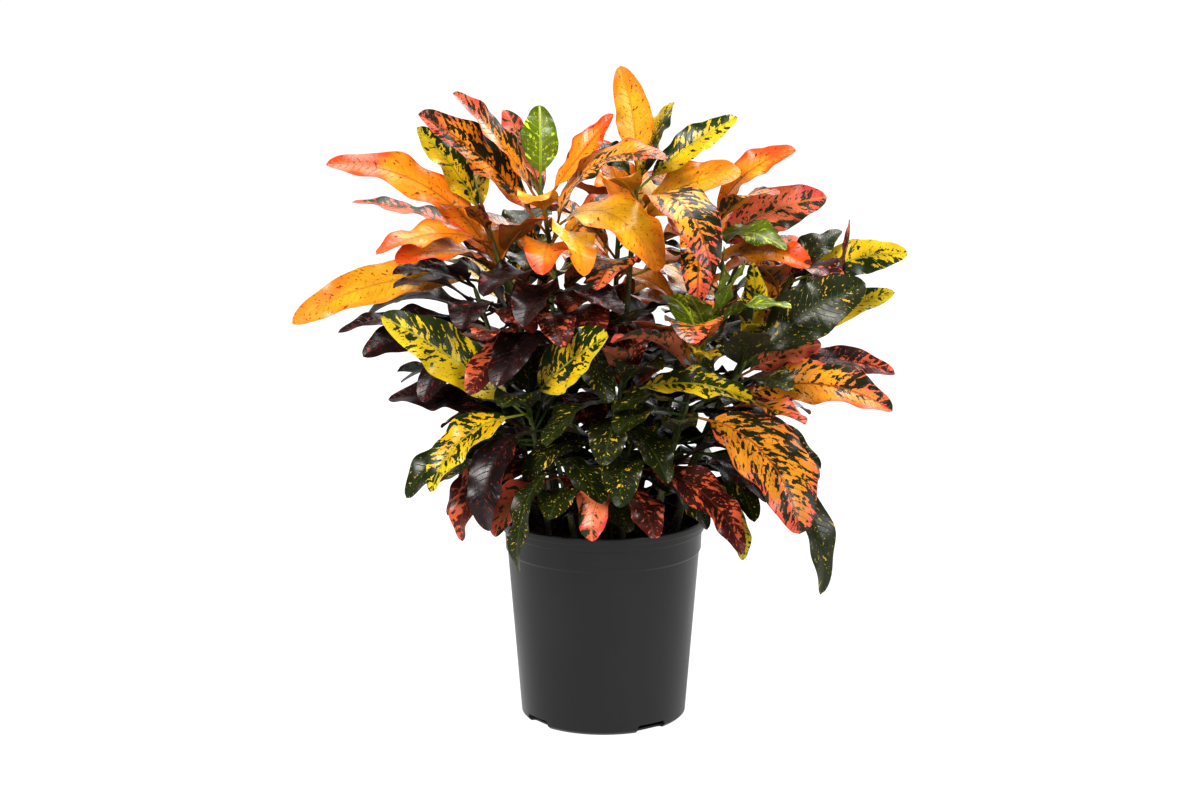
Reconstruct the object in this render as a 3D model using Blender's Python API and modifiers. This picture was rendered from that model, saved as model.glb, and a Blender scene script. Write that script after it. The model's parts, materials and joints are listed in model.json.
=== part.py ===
"""Potted croton: a bushy variegated croton in a black ten-inch nursery pot.

Frame: metres, +Z up, the plant's front faces -Y.  The origin is the centre of the pot's flat
underside.  The numbers below are in millimetres and degrees, and MM turns them into metres.
"""

import math
import random
from collections import namedtuple

import bmesh
import bpy
from mathutils import Vector
from mathutils.bvhtree import BVHTree

MM = 0.001
UP = Vector((0.0, 0.0, 1.0))

# Pot: a moulded shell with a rolled lip, a step and a collar band above a plain tapering wall.
POT_HEIGHT = 250.0
RIM_RADIUS = 127.5
STEP_RADIUS = 121.5
COLLAR_RADIUS = 118.0
SHOULDER_RADIUS = 115.0
BASE_RADIUS = 98.5
WALL = 2.4
LIP_ROUND = 1.3
LEDGE_FALL = 0.6
DRAFT = 0.45
INNER_RISE = 1.6
FOOT_ROUND = 4.0
FOOT_BAND = 12.0
POT_SIDES = 32

# Heights of the rim's steps, from the lip down.
LIP_FOOT = POT_HEIGHT - 9.0
STEP_FOOT = LIP_FOOT - 9.5
COLLAR_FOOT = STEP_FOOT - 24.5
SHOULDER_HEIGHT = COLLAR_FOOT - 2.0

# Drainage notches, cut through the bottom corner of the wall.
NOTCH_COUNT = 4
NOTCH_FIRST = 36.0
NOTCH_WIDTH = 40.0
NOTCH_HEIGHT = 10.0
NOTCH_DEPTH = 11.0
NOTCH_ROUND = 4.0

# Soil: fills the pot, and stands a gap away from its wall and from every stem.
SOIL_TOP = 222.0
SOIL_MOUND = 5.0
MOUND_RADIUS = 70.0
MOUND_SHARE = 0.8
GAP = 0.4

# Stems: round, rising from plain holes in the soil, upright first and then leaning outward.
HOLE_FLOOR = 170.0
STEM_START = 232.0
STEM_RADIUS = 4.4
STEM_TIP_RADIUS = 2.6
STEM_LEAN = 1.35
STEM_JOINTS = 4
STEM_SIDES = 6

# Leaves: a slim stalk that widens into a long blade with waved edges, folded along its midrib.
STALK_SHARE = 0.17
STALK_JOINT = 0.75
STALK_RADIUS = 1.6
STALK_FLATNESS = 0.8
BLADE_THICKNESS = 1.0
SPAN_LENGTH = 34.0
FEWEST_SPANS = 4
MOST_SPANS = 6
BLADE_SKEW = 0.9
BASE_BLUNTNESS = 0.95
TIP_BLUNTNESS = 0.46
MARGIN_PHASE = 0.6
TIP_HALF_WIDTH = 1.2

# How much leaves differ: the height of their waves, how sharply they fold along the midrib, and
# how far they twist and curve sideways to either hand.
WAVES = (3.0, 6.5)
FOLDS = (4.0, 16.0)
TWIST = 30.0
BOW = 12.0

# Leaves added by the spiral rule: how far down the shoot they run, their rise from the top of the
# shoot to the bottom, and their sizes.
FILLER_TOP = 0.08
FILLER_FOOT = 0.74
FILLER_RISE_TOP = 60.0
FILLER_RISE_FOOT = 15.0
FILLER_LENGTHS = (132.0, 186.0)
FILLER_WIDTHS = (56.0, 74.0)
FILLER_DROOPS = (40.0, 80.0)

# Leaves that would touch something are turned and lifted in growing steps on a spiral.
GOLDEN_ANGLE = math.radians(137.5)
NUDGE = 2.4
NUDGE_LIMIT = 300
CLEARANCE = 1.4
POT_CLEARANCE = 2.0
LEAF_REACH = 0.6
BLADE_ROW = 1

# A leaf's cross-section has six corners, left to right above and right to left below.  The strips
# that start at these corners are split by one diagonal and the rest by the other, so a blade's two
# faces are split alike and never cross.
RING = 6
ALIKE_CORNERS = (0, 3, 5)

# The lower leaves of a shoot grow in the bush's shade and are dark.
INNER_SHARE = 0.5
INNER_LOOKS = ("forest", "night", "ember", "forest")

# Base colours of the leaf patterns, as linear red, green and blue.
LEAF_COLOURS = {
    "sunset": (0.80, 0.22, 0.02),
    "amber": (0.85, 0.38, 0.02),
    "tiger": (0.42, 0.12, 0.03),
    "lemon": (0.62, 0.55, 0.02),
    "night": (0.025, 0.008, 0.012),
    "ember": (0.16, 0.012, 0.012),
    "forest": (0.015, 0.05, 0.01),
    "fresh": (0.16, 0.36, 0.03),
    "coral": (0.50, 0.10, 0.06),
}
STEM_COLOUR = (0.13, 0.16, 0.04)

Leaf = namedtuple("Leaf", "drop heading rise length width droop face look wave fold twist bow")
Shoot = namedtuple("Shoot", "name foot tip filler looks leaves")

# Each shoot: its name, where it leaves the soil, its tip, how many leaves the spiral rule adds,
# the looks of those, and the leaves that are set one by one.  A leaf's numbers are how far below
# the tip it sits, its heading (0 right, 90 back, 180 left, 270 front), its rise at the start, its
# length with the stalk, its width, how far it droops by its end, and how far its face is turned
# towards the front.  Leaves keep clear of those before them, so the front shoots come first.
SHOOTS = [
    Shoot("stem_left_front", (-64, -64), (-90, -112, 418), 2, ("forest",), [
        (28, 190, 42, 214, 66, 18, 60, "lemon"),
        (20, 203, -4, 160, 50, 70, 30, "lemon"),
        (35, 230, -14, 160, 50, 96, 10, "night"),
        (55, 184, 4, 178, 52, 60, 35, "forest"),
        (62, 172, 8, 150, 46, 60, 20, "forest"),
        (8, 322, 46, 150, 70, 20, 70, "lemon"),
        (45, 166, 28, 184, 52, 42, 30, "night"),
        (75, 204, -4, 156, 44, 96, 20, "ember"),
        (50, 150, 30, 140, 46, 70, 0, "ember"),
    ]),
    Shoot("stem_front", (6, -66), (22, -108, 440), 3, ("forest", "ember"), [
        (18, 350, 16, 164, 40, 40, 38, "lemon"),
        (0, 66, 50, 112, 46, 40, 0, "ember"),
        (28, 222, 8, 130, 54, 60, -10, "forest"),
        (45, 262, 2, 108, 50, 60, 0, "forest"),
        (0, 262, 50, 84, 36, 30, 0, "coral"),
        (60, 304, 2, 118, 48, 70, 0, "forest"),
        (80, 200, 14, 130, 50, 80, 20, "forest"),
    ]),
    Shoot("stem_right_low", (58, -76), (98, -112, 410), 2, ("forest",), [
        (12, 321, -2, 222, 90, 84, 24, "tiger"),
        (50, 12, 18, 194, 50, 62, 30, "forest"),
        (60, 337, 4, 288, 54, 106, 20, "forest"),
        (75, 332, -16, 156, 42, 80, 10, "lemon"),
        (0, 200, 46, 110, 48, 50, 0, "forest"),
    ]),
    Shoot("stem_front_right", (22, -90), (24, -112, 348), 0, ("forest",), [
        (12, 330, 2, 192, 52, 78, 24, "ember"),
        (0, 290, 24, 116, 50, 80, 0, "forest"),
        (0, 196, 34, 138, 54, 60, -10, "forest"),
        (30, 238, 4, 112, 46, 92, 0, "coral"),
        (20, 2, 30, 128, 50, 64, 20, "forest"),
        (5, 60, 44, 120, 50, 60, 0, "forest"),
        (34, 296, -8, 96, 44, 60, 0, "ember"),
    ]),
    Shoot("stem_front_left", (-34, -88), (-56, -108, 346), 0, ("forest",), [
        (10, 240, 2, 172, 34, 108, -20, "forest"),
        (24, 218, 6, 120, 42, 84, 20, "coral"),
        (0, 288, 26, 110, 48, 70, 0, "forest"),
        (20, 190, 16, 158, 50, 80, 30, "ember"),
        (0, 140, 46, 124, 50, 60, 0, "forest"),
        (30, 330, 10, 106, 46, 70, 10, "forest"),
    ]),
    Shoot("stem_right", (86, -38), (166, -96, 458), 2, ("tiger", "forest"), [
        (10, 0, 44, 176, 70, 16, 62, "forest"),
        (50, 12, 29, 218, 46, 56, 30, "ember"),
        (58, 358, 25, 214, 60, 54, 45, "tiger"),
        (70, 32, 18, 144, 46, 60, 20, "ember"),
        (15, 24, 60, 132, 34, -34, 40, "lemon"),
        (22, 14, 22, 108, 42, 20, 40, "coral"),
        (5, 284, 56, 90, 38, 30, 0, "lemon"),
        (30, 300, 18, 116, 48, 40, 10, "forest"),
    ]),
    Shoot("stem_left_top", (-52, 6), (-140, 0, 610), 3, ("tiger", "sunset"), [
        (70, 190, 60, 268, 54, 62, 45, "sunset"),
        (40, 170, 30, 184, 38, 30, 10, "coral"),
        (30, 214, 26, 176, 44, 40, 20, "sunset"),
        (80, 195, 11, 266, 52, 46, 48, "amber"),
        (62, 224, 30, 162, 56, 52, 20, "sunset"),
        (10, 167, 52, 142, 42, 24, 45, "lemon"),
        (0, 120, 60, 98, 32, 20, 0, "lemon"),
    ]),
    Shoot("stem_crown_left", (-24, 26), (-75, 10, 645), 2, ("sunset", "tiger"), [
        (0, 80, 84, 96, 46, 14, 0, "fresh"),
        (60, 206, 54, 228, 62, 26, 52, "tiger"),
        (30, 190, 59, 186, 54, 22, 40, "tiger"),
        (10, 148, 80, 114, 42, 20, 0, "coral"),
        (20, 352, 54, 134, 36, 12, 45, "sunset"),
        (75, 335, 76, 226, 54, 92, 30, "tiger"),
        (40, 262, 45, 116, 46, 62, 0, "amber"),
        (55, 316, 34, 206, 84, 104, 10, "amber"),
        (72, 288, 34, 166, 54, 92, -20, "amber"),
        (20, 128, 62, 120, 36, 20, 10, "lemon"),
        (125, 234, 32, 156, 62, 62, 0, "night"),
        (160, 286, 26, 156, 62, 70, 0, "ember"),
    ]),
    Shoot("stem_crown", (14, 28), (40, 12, 650), 3, ("sunset", "amber"), [
        (0, 120, 88, 138, 46, 12, 15, "amber"),
        (10, 356, 44, 148, 42, 16, 50, "lemon"),
        (0, 154, 46, 88, 32, 30, 20, "forest"),
        (60, 338, 50, 160, 68, 50, 42, "amber"),
        (45, 296, 36, 214, 64, 128, 10, "tiger"),
        (20, 250, 42, 100, 46, 40, 0, "amber"),
        (15, 40, 66, 124, 46, 30, 0, "lemon"),
        (115, 258, 34, 160, 62, 70, 0, "tiger"),
        (160, 226, 26, 156, 62, 62, 0, "ember"),
        (180, 306, 22, 156, 60, 66, 0, "forest"),
    ]),
    Shoot("stem_crown_right", (58, 18), (132, 18, 612), 4, ("tiger", "sunset"), [
        (22, 346, 68, 148, 46, 60, 40, "sunset"),
        (45, 2, 36, 160, 60, 22, 58, "coral"),
        (50, 266, 40, 196, 48, 130, 0, "tiger"),
        (35, 322, 26, 116, 46, 60, 20, "fresh"),
        (12, 200, 55, 100, 42, 30, 20, "tiger"),
        (70, 330, 40, 154, 52, 70, 30, "sunset"),
    ]),
    Shoot("stem_right_upper", (84, -2), (226, 6, 540), 3, ("forest", "tiger"), [
        (10, 4, 24, 148, 46, 22, 55, "lemon"),
        (20, 25, 52, 104, 44, 40, 30, "forest"),
        (40, 352, 22, 160, 40, -78, 30, "ember"),
        (0, 318, 34, 104, 42, 90, 20, "ember"),
        (90, 358, 28, 186, 40, 20, 50, "lemon"),
        (0, 180, 60, 90, 36, 30, 0, "tiger"),
    ]),
    Shoot("stem_right_fresh", (62, -42), (126, -112, 505), 3, ("fresh", "tiger"), [
        (0, 200, 78, 92, 32, 10, 10, "fresh"),
        (5, 320, 80, 92, 32, 10, 10, "fresh"),
        (15, 250, 62, 76, 30, 10, 0, "fresh"),
        (66, 222, 26, 166, 58, 54, -10, "coral"),
        (45, 282, 30, 88, 40, 46, 0, "lemon"),
        (50, 60, 60, 110, 44, 30, 0, "tiger"),
    ]),
    Shoot("stem_left_dark", (-78, -22), (-152, -42, 535), 4, ("night", "ember"), [
        (45, 198, 16, 180, 30, 42, 15, "night"),
        (0, 187, 30, 100, 38, 50, 20, "night"),
        (25, 262, 24, 116, 52, 62, 0, "night"),
        (0, 232, 46, 88, 38, 40, 0, "night"),
        (55, 204, 12, 156, 52, 50, 40, "night"),
        (60, 240, 10, 132, 54, 70, 10, "night"),
        (35, 300, 24, 116, 50, 60, 0, "ember"),
    ]),
    Shoot("stem_centre_dark", (-28, -40), (-62, -72, 530), 5, ("night", "forest"), [
        (10, 250, 26, 122, 50, 70, 0, "night"),
        (45, 242, 14, 142, 58, 80, 0, "night"),
        (20, 282, 22, 110, 46, 62, 0, "ember"),
        (0, 316, 34, 118, 42, 70, 10, "night"),
        (40, 300, 20, 130, 50, 62, 0, "forest"),
        (60, 208, 16, 154, 52, 60, 20, "ember"),
    ]),
    Shoot("stem_back_left", (-58, 60), (-128, 112, 560), 10, ("tiger", "forest", "lemon"), []),
    Shoot("stem_back", (6, 82), (20, 150, 600), 10, ("sunset", "tiger", "forest"), []),
    Shoot("stem_back_right", (66, 62), (168, 122, 540), 9, ("forest", "tiger", "lemon"), []),
    Shoot("stem_back_low_left", (-30, 84), (-66, 118, 372), 7, ("forest", "ember"), []),
    Shoot("stem_back_low_right", (42, 86), (82, 120, 380), 6, ("lemon", "forest"), []),
]


def material(name, colour, roughness):
    """A plain opaque surface of one colour."""
    made = bpy.data.materials.new(name)
    made.use_nodes = True
    shader = made.node_tree.nodes["Principled BSDF"]
    shader.inputs["Base Color"].default_value = (*colour, 1.0)
    shader.inputs["Roughness"].default_value = roughness
    return made


def add_object(name, mesh, collection):
    """An object for a mesh, linked to a collection."""
    made = bpy.data.objects.new(name, mesh)
    collection.objects.link(made)
    return made


def add_collection(name):
    """A collection at the top of the scene."""
    made = bpy.data.collections.new(name)
    bpy.context.scene.collection.children.link(made)
    return made


def lathe(name, profile, collection, surface):
    """Turn a profile of (radius, height) points, given down the outer side, about the Z axis."""
    mesh = bpy.data.meshes.new(name)
    points = [(radius * MM, 0.0, height * MM) for radius, height in profile]
    mesh.from_pydata(points, [(i, i + 1) for i in range(len(points) - 1)], [])
    mesh.materials.append(surface)
    turned = add_object(name, mesh, collection)
    screw = turned.modifiers.new("turn", "SCREW")
    screw.steps = screw.render_steps = POT_SIDES
    screw.use_merge_vertices = True
    screw.merge_threshold = 0.00001
    screw.use_smooth_shade = True
    return turned


def add_boolean(target, operation, collection, solver="EXACT"):
    """Join a collection's objects to a target, or cut them out of it."""
    boolean = target.modifiers.new(operation.lower(), "BOOLEAN")
    boolean.operation = operation
    boolean.operand_type = "COLLECTION"
    boolean.collection = collection
    boolean.solver = solver
    boolean.material_mode = "TRANSFER"


def wall_radius(height):
    """Outer radius of the pot's plain tapering wall."""
    return BASE_RADIUS + (SHOULDER_RADIUS - BASE_RADIUS) * height / SHOULDER_HEIGHT


def pot_profile():
    """The pot's section: down its outside, across its floor and up its inside."""
    return [
        (RIM_RADIUS - LIP_ROUND, POT_HEIGHT),
        (RIM_RADIUS, POT_HEIGHT - LIP_ROUND),
        (RIM_RADIUS - DRAFT, LIP_FOOT),
        (STEP_RADIUS, LIP_FOOT - LEDGE_FALL),
        (STEP_RADIUS - DRAFT, STEP_FOOT),
        (COLLAR_RADIUS, STEP_FOOT - LEDGE_FALL),
        (COLLAR_RADIUS - 2 * DRAFT, COLLAR_FOOT),
        (SHOULDER_RADIUS, SHOULDER_HEIGHT),
        (wall_radius(FOOT_BAND), FOOT_BAND),
        (wall_radius(FOOT_ROUND), FOOT_ROUND),
        (BASE_RADIUS - FOOT_ROUND, 0.0),
        (0.0, 0.0),
        (0.0, WALL),
        (BASE_RADIUS - WALL - FOOT_ROUND, WALL),
        (wall_radius(FOOT_BAND) - WALL, FOOT_BAND),
        (SHOULDER_RADIUS - WALL, SHOULDER_HEIGHT),
        (COLLAR_RADIUS - WALL - 2 * DRAFT, COLLAR_FOOT + INNER_RISE),
        (COLLAR_RADIUS - WALL, STEP_FOOT + INNER_RISE),
        (STEP_RADIUS - WALL, LIP_FOOT + INNER_RISE),
        (RIM_RADIUS - WALL - DRAFT, LIP_FOOT + INNER_RISE + LEDGE_FALL),
        (RIM_RADIUS - WALL, POT_HEIGHT - LIP_ROUND),
        (RIM_RADIUS - LIP_ROUND, POT_HEIGHT),
    ]


def make_pot(parts, cutters):
    """The nursery pot, with drainage notches cut out of its bottom corner."""
    pot = lathe("pot", pot_profile(), parts, material("pot_plastic", (0.012, 0.012, 0.013), 0.4))
    notches = bpy.data.collections.new("notches")
    cutters.children.link(notches)
    for index in range(NOTCH_COUNT):
        azimuth = math.radians(NOTCH_FIRST - 90.0 + index * 360.0 / NOTCH_COUNT)
        mesh = bpy.data.meshes.new("notch")
        cube = bmesh.new()
        bmesh.ops.create_cube(cube, size=1.0)
        size = Vector((2.0 * NOTCH_DEPTH, NOTCH_WIDTH, 2.0 * NOTCH_HEIGHT)) * MM
        bmesh.ops.scale(cube, vec=size, verts=cube.verts)
        cube.to_mesh(mesh)
        cube.free()
        notch = add_object(f"notch_{index}", mesh, notches)
        notch.location = Vector((math.cos(azimuth), math.sin(azimuth), 0.0)) * BASE_RADIUS * MM
        notch.rotation_euler.z = azimuth
        notch.hide_render = True
        notch.display_type = "WIRE"
        bevel = notch.modifiers.new("round", "BEVEL")
        bevel.width = NOTCH_ROUND * MM
        bevel.segments = 1
    add_boolean(pot, "DIFFERENCE", notches)
    return pot


def soil_profile():
    """The soil's section: mounded top, then down beside the pot's wall and across its floor."""
    collar = COLLAR_RADIUS - WALL - 2 * DRAFT - GAP
    return [
        (0.0, SOIL_TOP + SOIL_MOUND),
        (MOUND_RADIUS, SOIL_TOP + MOUND_SHARE * SOIL_MOUND),
        (collar, SOIL_TOP),
        (collar, COLLAR_FOOT + 2 * INNER_RISE),
        (SHOULDER_RADIUS - WALL - GAP, SHOULDER_HEIGHT),
        (wall_radius(FOOT_BAND) - WALL - GAP, FOOT_BAND + GAP),
        (BASE_RADIUS - WALL - FOOT_ROUND - 2 * GAP, WALL + GAP),
        (0.0, WALL + GAP),
    ]


def make_soil(parts, cutters):
    """The soil, with one plain hole for each stem."""
    soil = lathe("soil", soil_profile(), parts, material("potting_soil", (0.02, 0.013, 0.008), 0.95))
    holes = bpy.data.collections.new("stem_holes")
    cutters.children.link(holes)
    sides = STEM_SIDES
    radius = (STEM_RADIUS + GAP) / math.cos(math.pi / sides)
    depth = SOIL_TOP + 2.0 * SOIL_MOUND - (HOLE_FLOOR - GAP)
    for shoot in SHOOTS:
        mesh = bpy.data.meshes.new("hole")
        drill = bmesh.new()
        bmesh.ops.create_cone(drill, cap_ends=True, segments=sides, radius1=radius * MM,
                              radius2=radius * MM, depth=depth * MM)
        drill.to_mesh(mesh)
        drill.free()
        hole = add_object(f"hole_{shoot.name}", mesh, holes)
        hole.location = Vector((*shoot.foot, HOLE_FLOOR - GAP + depth / 2)) * MM
        hole.hide_render = True
        hole.display_type = "WIRE"
    add_boolean(soil, "DIFFERENCE", holes)
    return soil


def stem_point(shoot, height):
    """Centre of a shoot's stem at a height above the pot's foot."""
    climbed = max(0.0, (height - STEM_START) / (shoot.tip[2] - STEM_START))
    foot = Vector((*shoot.foot, 0.0))
    lean = Vector((shoot.tip[0], shoot.tip[1], 0.0)) - foot
    return foot + lean * climbed ** STEM_LEAN + UP * height


def stem_heights(shoot):
    """Heights of the points that a shoot's stem is drawn through."""
    climb = shoot.tip[2] - STEM_START
    return [HOLE_FLOOR] + [STEM_START + climb * joint / STEM_JOINTS for joint in range(STEM_JOINTS + 1)]


def stem_radius(shoot, height):
    """A stem's radius at a height: it tapers from the soil to its tip."""
    climbed = max(0.0, (height - STEM_START) / (shoot.tip[2] - STEM_START))
    return STEM_RADIUS + (STEM_TIP_RADIUS - STEM_RADIUS) * climbed


def ring_faces(rings, sides):
    """Triangles that join rings of points, each ring to the next."""
    faces = []
    for ring in range(rings - 1):
        for side in range(sides):
            a = ring * sides + side
            b = ring * sides + (side + 1) % sides
            faces += [(a, b, b + sides), (a, b + sides, a + sides)]
    return faces


def stem_tree(shoot):
    """A search tree over a shoot's stem."""
    points = []
    for height in stem_heights(shoot):
        for side in range(STEM_SIDES):
            angle = 2 * math.pi * side / STEM_SIDES
            outward = Vector((math.cos(angle), math.sin(angle), 0.0))
            points.append(stem_point(shoot, height) + outward * stem_radius(shoot, height))
    return BVHTree.FromPolygons(points, ring_faces(len(points) // STEM_SIDES, STEM_SIDES))


def make_stem(shoot, surface):
    """A shoot's woody stem: a tapering tube as a closed mesh, with its lower end in the soil."""
    heights = stem_heights(shoot)
    curve = bpy.data.curves.new(shoot.name, "CURVE")
    curve.dimensions = "3D"
    curve.bevel_depth = STEM_RADIUS * MM
    curve.bevel_resolution = STEM_SIDES // 2 - 2
    curve.use_fill_caps = True
    spline = curve.splines.new("POLY")
    spline.points.add(len(heights) - 1)
    for point, height in zip(spline.points, heights):
        point.co = (*(stem_point(shoot, height) * MM), 1.0)
        point.radius = stem_radius(shoot, height) / STEM_RADIUS
    guide = add_object("guide", curve, bpy.context.scene.collection)
    mesh = bpy.data.meshes.new_from_object(guide.evaluated_get(bpy.context.evaluated_depsgraph_get()))
    bpy.data.objects.remove(guide)
    mesh.name = shoot.name
    mesh.materials.clear()
    mesh.materials.append(surface)
    tube = bmesh.new()
    tube.from_mesh(mesh)
    bmesh.ops.remove_doubles(tube, verts=tube.verts, dist=0.00001)
    bmesh.ops.recalc_face_normals(tube, faces=tube.faces)
    tube.to_mesh(mesh)
    tube.free()
    return mesh


def midrib(leaf, root, along):
    """Centre, direction and face normal of a leaf at a share of its length from the root."""
    stalk = STALK_SHARE * leaf.length
    start = math.radians(leaf.rise)
    bend = math.radians(leaf.droop)
    if along <= STALK_SHARE:
        angle = start
        reach = along * leaf.length * math.cos(start)
        climb = along * leaf.length * math.sin(start)
        part = 0.0
    else:
        part = (along - STALK_SHARE) / (1.0 - STALK_SHARE)
        angle = start - bend * part
        radius = (leaf.length - stalk) / bend
        reach = stalk * math.cos(start) + radius * (math.sin(start) - math.sin(angle))
        climb = stalk * math.sin(start) + radius * (math.cos(angle) - math.cos(start))
    heading = math.radians(leaf.heading)
    outward = Vector((math.cos(heading), math.sin(heading), 0.0))
    direction = outward * math.cos(angle) + UP * math.sin(angle)
    level = UP * math.cos(angle) - outward * math.sin(angle)
    side = direction.cross(level)
    to_front = math.copysign(1.0, outward.x)
    roll = math.radians(to_front * leaf.face + leaf.twist * (part - 0.5))
    normal = level * math.cos(roll) + side * math.sin(roll)
    centre = root + outward * reach + UP * climb + direction.cross(normal) * leaf.bow * part ** 2
    return centre, direction, normal


def blade_spans(leaf):
    """How many spans a blade is built of: fewer on a short one."""
    return max(FEWEST_SPANS, min(MOST_SPANS, round(leaf.length / SPAN_LENGTH)))


def half_width(leaf, part):
    """Half the blade's width at a share of its length."""
    bluntness = BASE_BLUNTNESS + (TIP_BLUNTNESS - BASE_BLUNTNESS) * part
    swell = max(0.0, math.sin(math.pi * part ** BLADE_SKEW)) ** bluntness
    return max(TIP_HALF_WIDTH, leaf.width / 2 * swell)


def leaf_rows(leaf, root, grow=0.0):
    """Rows of left, middle and right points, each with its normal and half its thickness."""
    stalk = STALK_RADIUS + grow
    rows = []
    for along in (0.0, STALK_JOINT * STALK_SHARE):
        centre, direction, normal = midrib(leaf, root, along)
        side = direction.cross(normal)
        points = [centre - side * stalk, centre, centre + side * stalk]
        rows.append((points, normal, STALK_FLATNESS * stalk))
    spans = blade_spans(leaf)
    for span in range(1, spans + 1):
        part = span / spans
        along = STALK_SHARE + (1.0 - STALK_SHARE) * part
        centre, direction, normal = midrib(leaf, root, along)
        side = direction.cross(normal)
        half = half_width(leaf, part) + grow
        swell = math.sin(math.pi * part)
        points = []
        for hand in (-1, 0, 1):
            wave = leaf.wave * math.cos(math.pi * spans * part + hand * MARGIN_PHASE) * swell
            lift = abs(hand) * (half * math.sin(math.radians(leaf.fold)) + wave)
            reach = hand * half * math.cos(math.radians(leaf.fold))
            points.append(centre + side * reach + normal * lift)
        rows.append((points, normal, BLADE_THICKNESS / 2 + grow))
    return rows


def leaf_shape(leaf, root, grow=0.0, first_row=0):
    """Vertices and triangles of a closed leaf, split alike on its two faces."""
    points = []
    for row, normal, half_thickness in leaf_rows(leaf, root, grow)[first_row:]:
        points += [point + normal * half_thickness for point in row]
        points += [point - normal * half_thickness for point in reversed(row)]
    rows = len(points) // RING
    faces = []
    for row in range(rows - 1):
        for corner in range(RING):
            a = row * RING + corner
            b = row * RING + (corner + 1) % RING
            if corner in ALIKE_CORNERS:
                faces += [(a, b, b + RING), (a, b + RING, a + RING)]
            else:
                faces += [(a, b, a + RING), (b, b + RING, a + RING)]
    end = (rows - 1) * RING
    faces += [(5, 4, 1), (5, 1, 0), (4, 3, 2), (4, 2, 1)]
    faces += [(end + 5, end + 1, end + 4), (end + 5, end, end + 1)]
    faces += [(end + 4, end + 2, end + 3), (end + 4, end + 1, end + 2)]
    return points, faces


def leaf_tree(leaf, root, grow, first_row=0):
    """A search tree over the triangles of a leaf, or of its blade alone from a later row on."""
    return BVHTree.FromPolygons(*leaf_shape(leaf, root, grow, first_row))


def dress(numbers, rng):
    """A leaf from its set numbers, with the small differences that every leaf has."""
    *numbers, look = numbers
    return Leaf(*numbers, look, wave=rng.uniform(*WAVES), fold=rng.uniform(*FOLDS),
                twist=rng.uniform(-TWIST, TWIST), bow=rng.uniform(-BOW, BOW))


def filler_leaves(shoot, rng):
    """Leaves that fill a shoot by the spiral rule: steep near its tip, wide and low further down."""
    leaves = []
    turn = rng.uniform(0.0, 360.0)
    climb = shoot.tip[2] - STEM_START
    for index in range(shoot.filler):
        share = (index + 0.5) / shoot.filler
        drop = climb * (FILLER_TOP + (FILLER_FOOT - FILLER_TOP) * share)
        heading = (turn + math.degrees(GOLDEN_ANGLE) * index) % 360.0
        rise = FILLER_RISE_TOP + (FILLER_RISE_FOOT - FILLER_RISE_TOP) * share
        looks = shoot.looks if share < INNER_SHARE else INNER_LOOKS
        numbers = (drop, heading, rise, rng.uniform(*FILLER_LENGTHS), rng.uniform(*FILLER_WIDTHS),
                   rng.uniform(*FILLER_DROOPS), 0, rng.choice(looks))
        leaves.append(dress(numbers, rng))
    return leaves


def pot_guard():
    """A search tree over the pot's wall and soil that leaves keep clear of."""
    profile = [
        (0.0, SOIL_TOP + SOIL_MOUND),
        (COLLAR_RADIUS, SOIL_TOP),
        (RIM_RADIUS - WALL - POT_CLEARANCE, LIP_FOOT),
        (RIM_RADIUS - WALL - POT_CLEARANCE, POT_HEIGHT + POT_CLEARANCE),
        (RIM_RADIUS + POT_CLEARANCE, POT_HEIGHT + POT_CLEARANCE),
        (RIM_RADIUS + POT_CLEARANCE, LIP_FOOT - POT_CLEARANCE),
        (COLLAR_RADIUS + POT_CLEARANCE, COLLAR_FOOT),
        (BASE_RADIUS + POT_CLEARANCE, 0.0),
    ]
    points = []
    for radius, height in profile:
        for side in range(POT_SIDES):
            angle = 2 * math.pi * side / POT_SIDES
            outward = Vector((math.cos(angle), math.sin(angle), 0.0))
            points.append(outward * radius + UP * height)
    return BVHTree.FromPolygons(points, ring_faces(len(profile), POT_SIDES))


def nudges():
    """Changes of heading and rise, growing on a spiral from none at all."""
    for step in range(NUDGE_LIMIT):
        reach = NUDGE * math.sqrt(step)
        yield reach * math.cos(step * GOLDEN_ANGLE), reach * math.sin(step * GOLDEN_ANGLE)


def is_clear(leaf, root, name, placed, guards):
    """Whether a leaf stays off the pot, other stems and other leaves, apart from its own stalk's."""
    middle = midrib(leaf, root, 0.5)[0]
    near = [entry for entry in placed
            if (entry[1] - middle).length < entry[2] + LEAF_REACH * leaf.length]
    whole = leaf_tree(leaf, root, CLEARANCE)
    if any(owner != name and whole.overlap(guard) for owner, guard in guards):
        return False
    if any(owner != name and whole.overlap(tree) for owner, _, _, tree, _ in near):
        return False
    blade = leaf_tree(leaf, root, CLEARANCE, BLADE_ROW)
    return not any(owner == name and blade.overlap(tree) for owner, _, _, _, tree in near)


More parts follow.
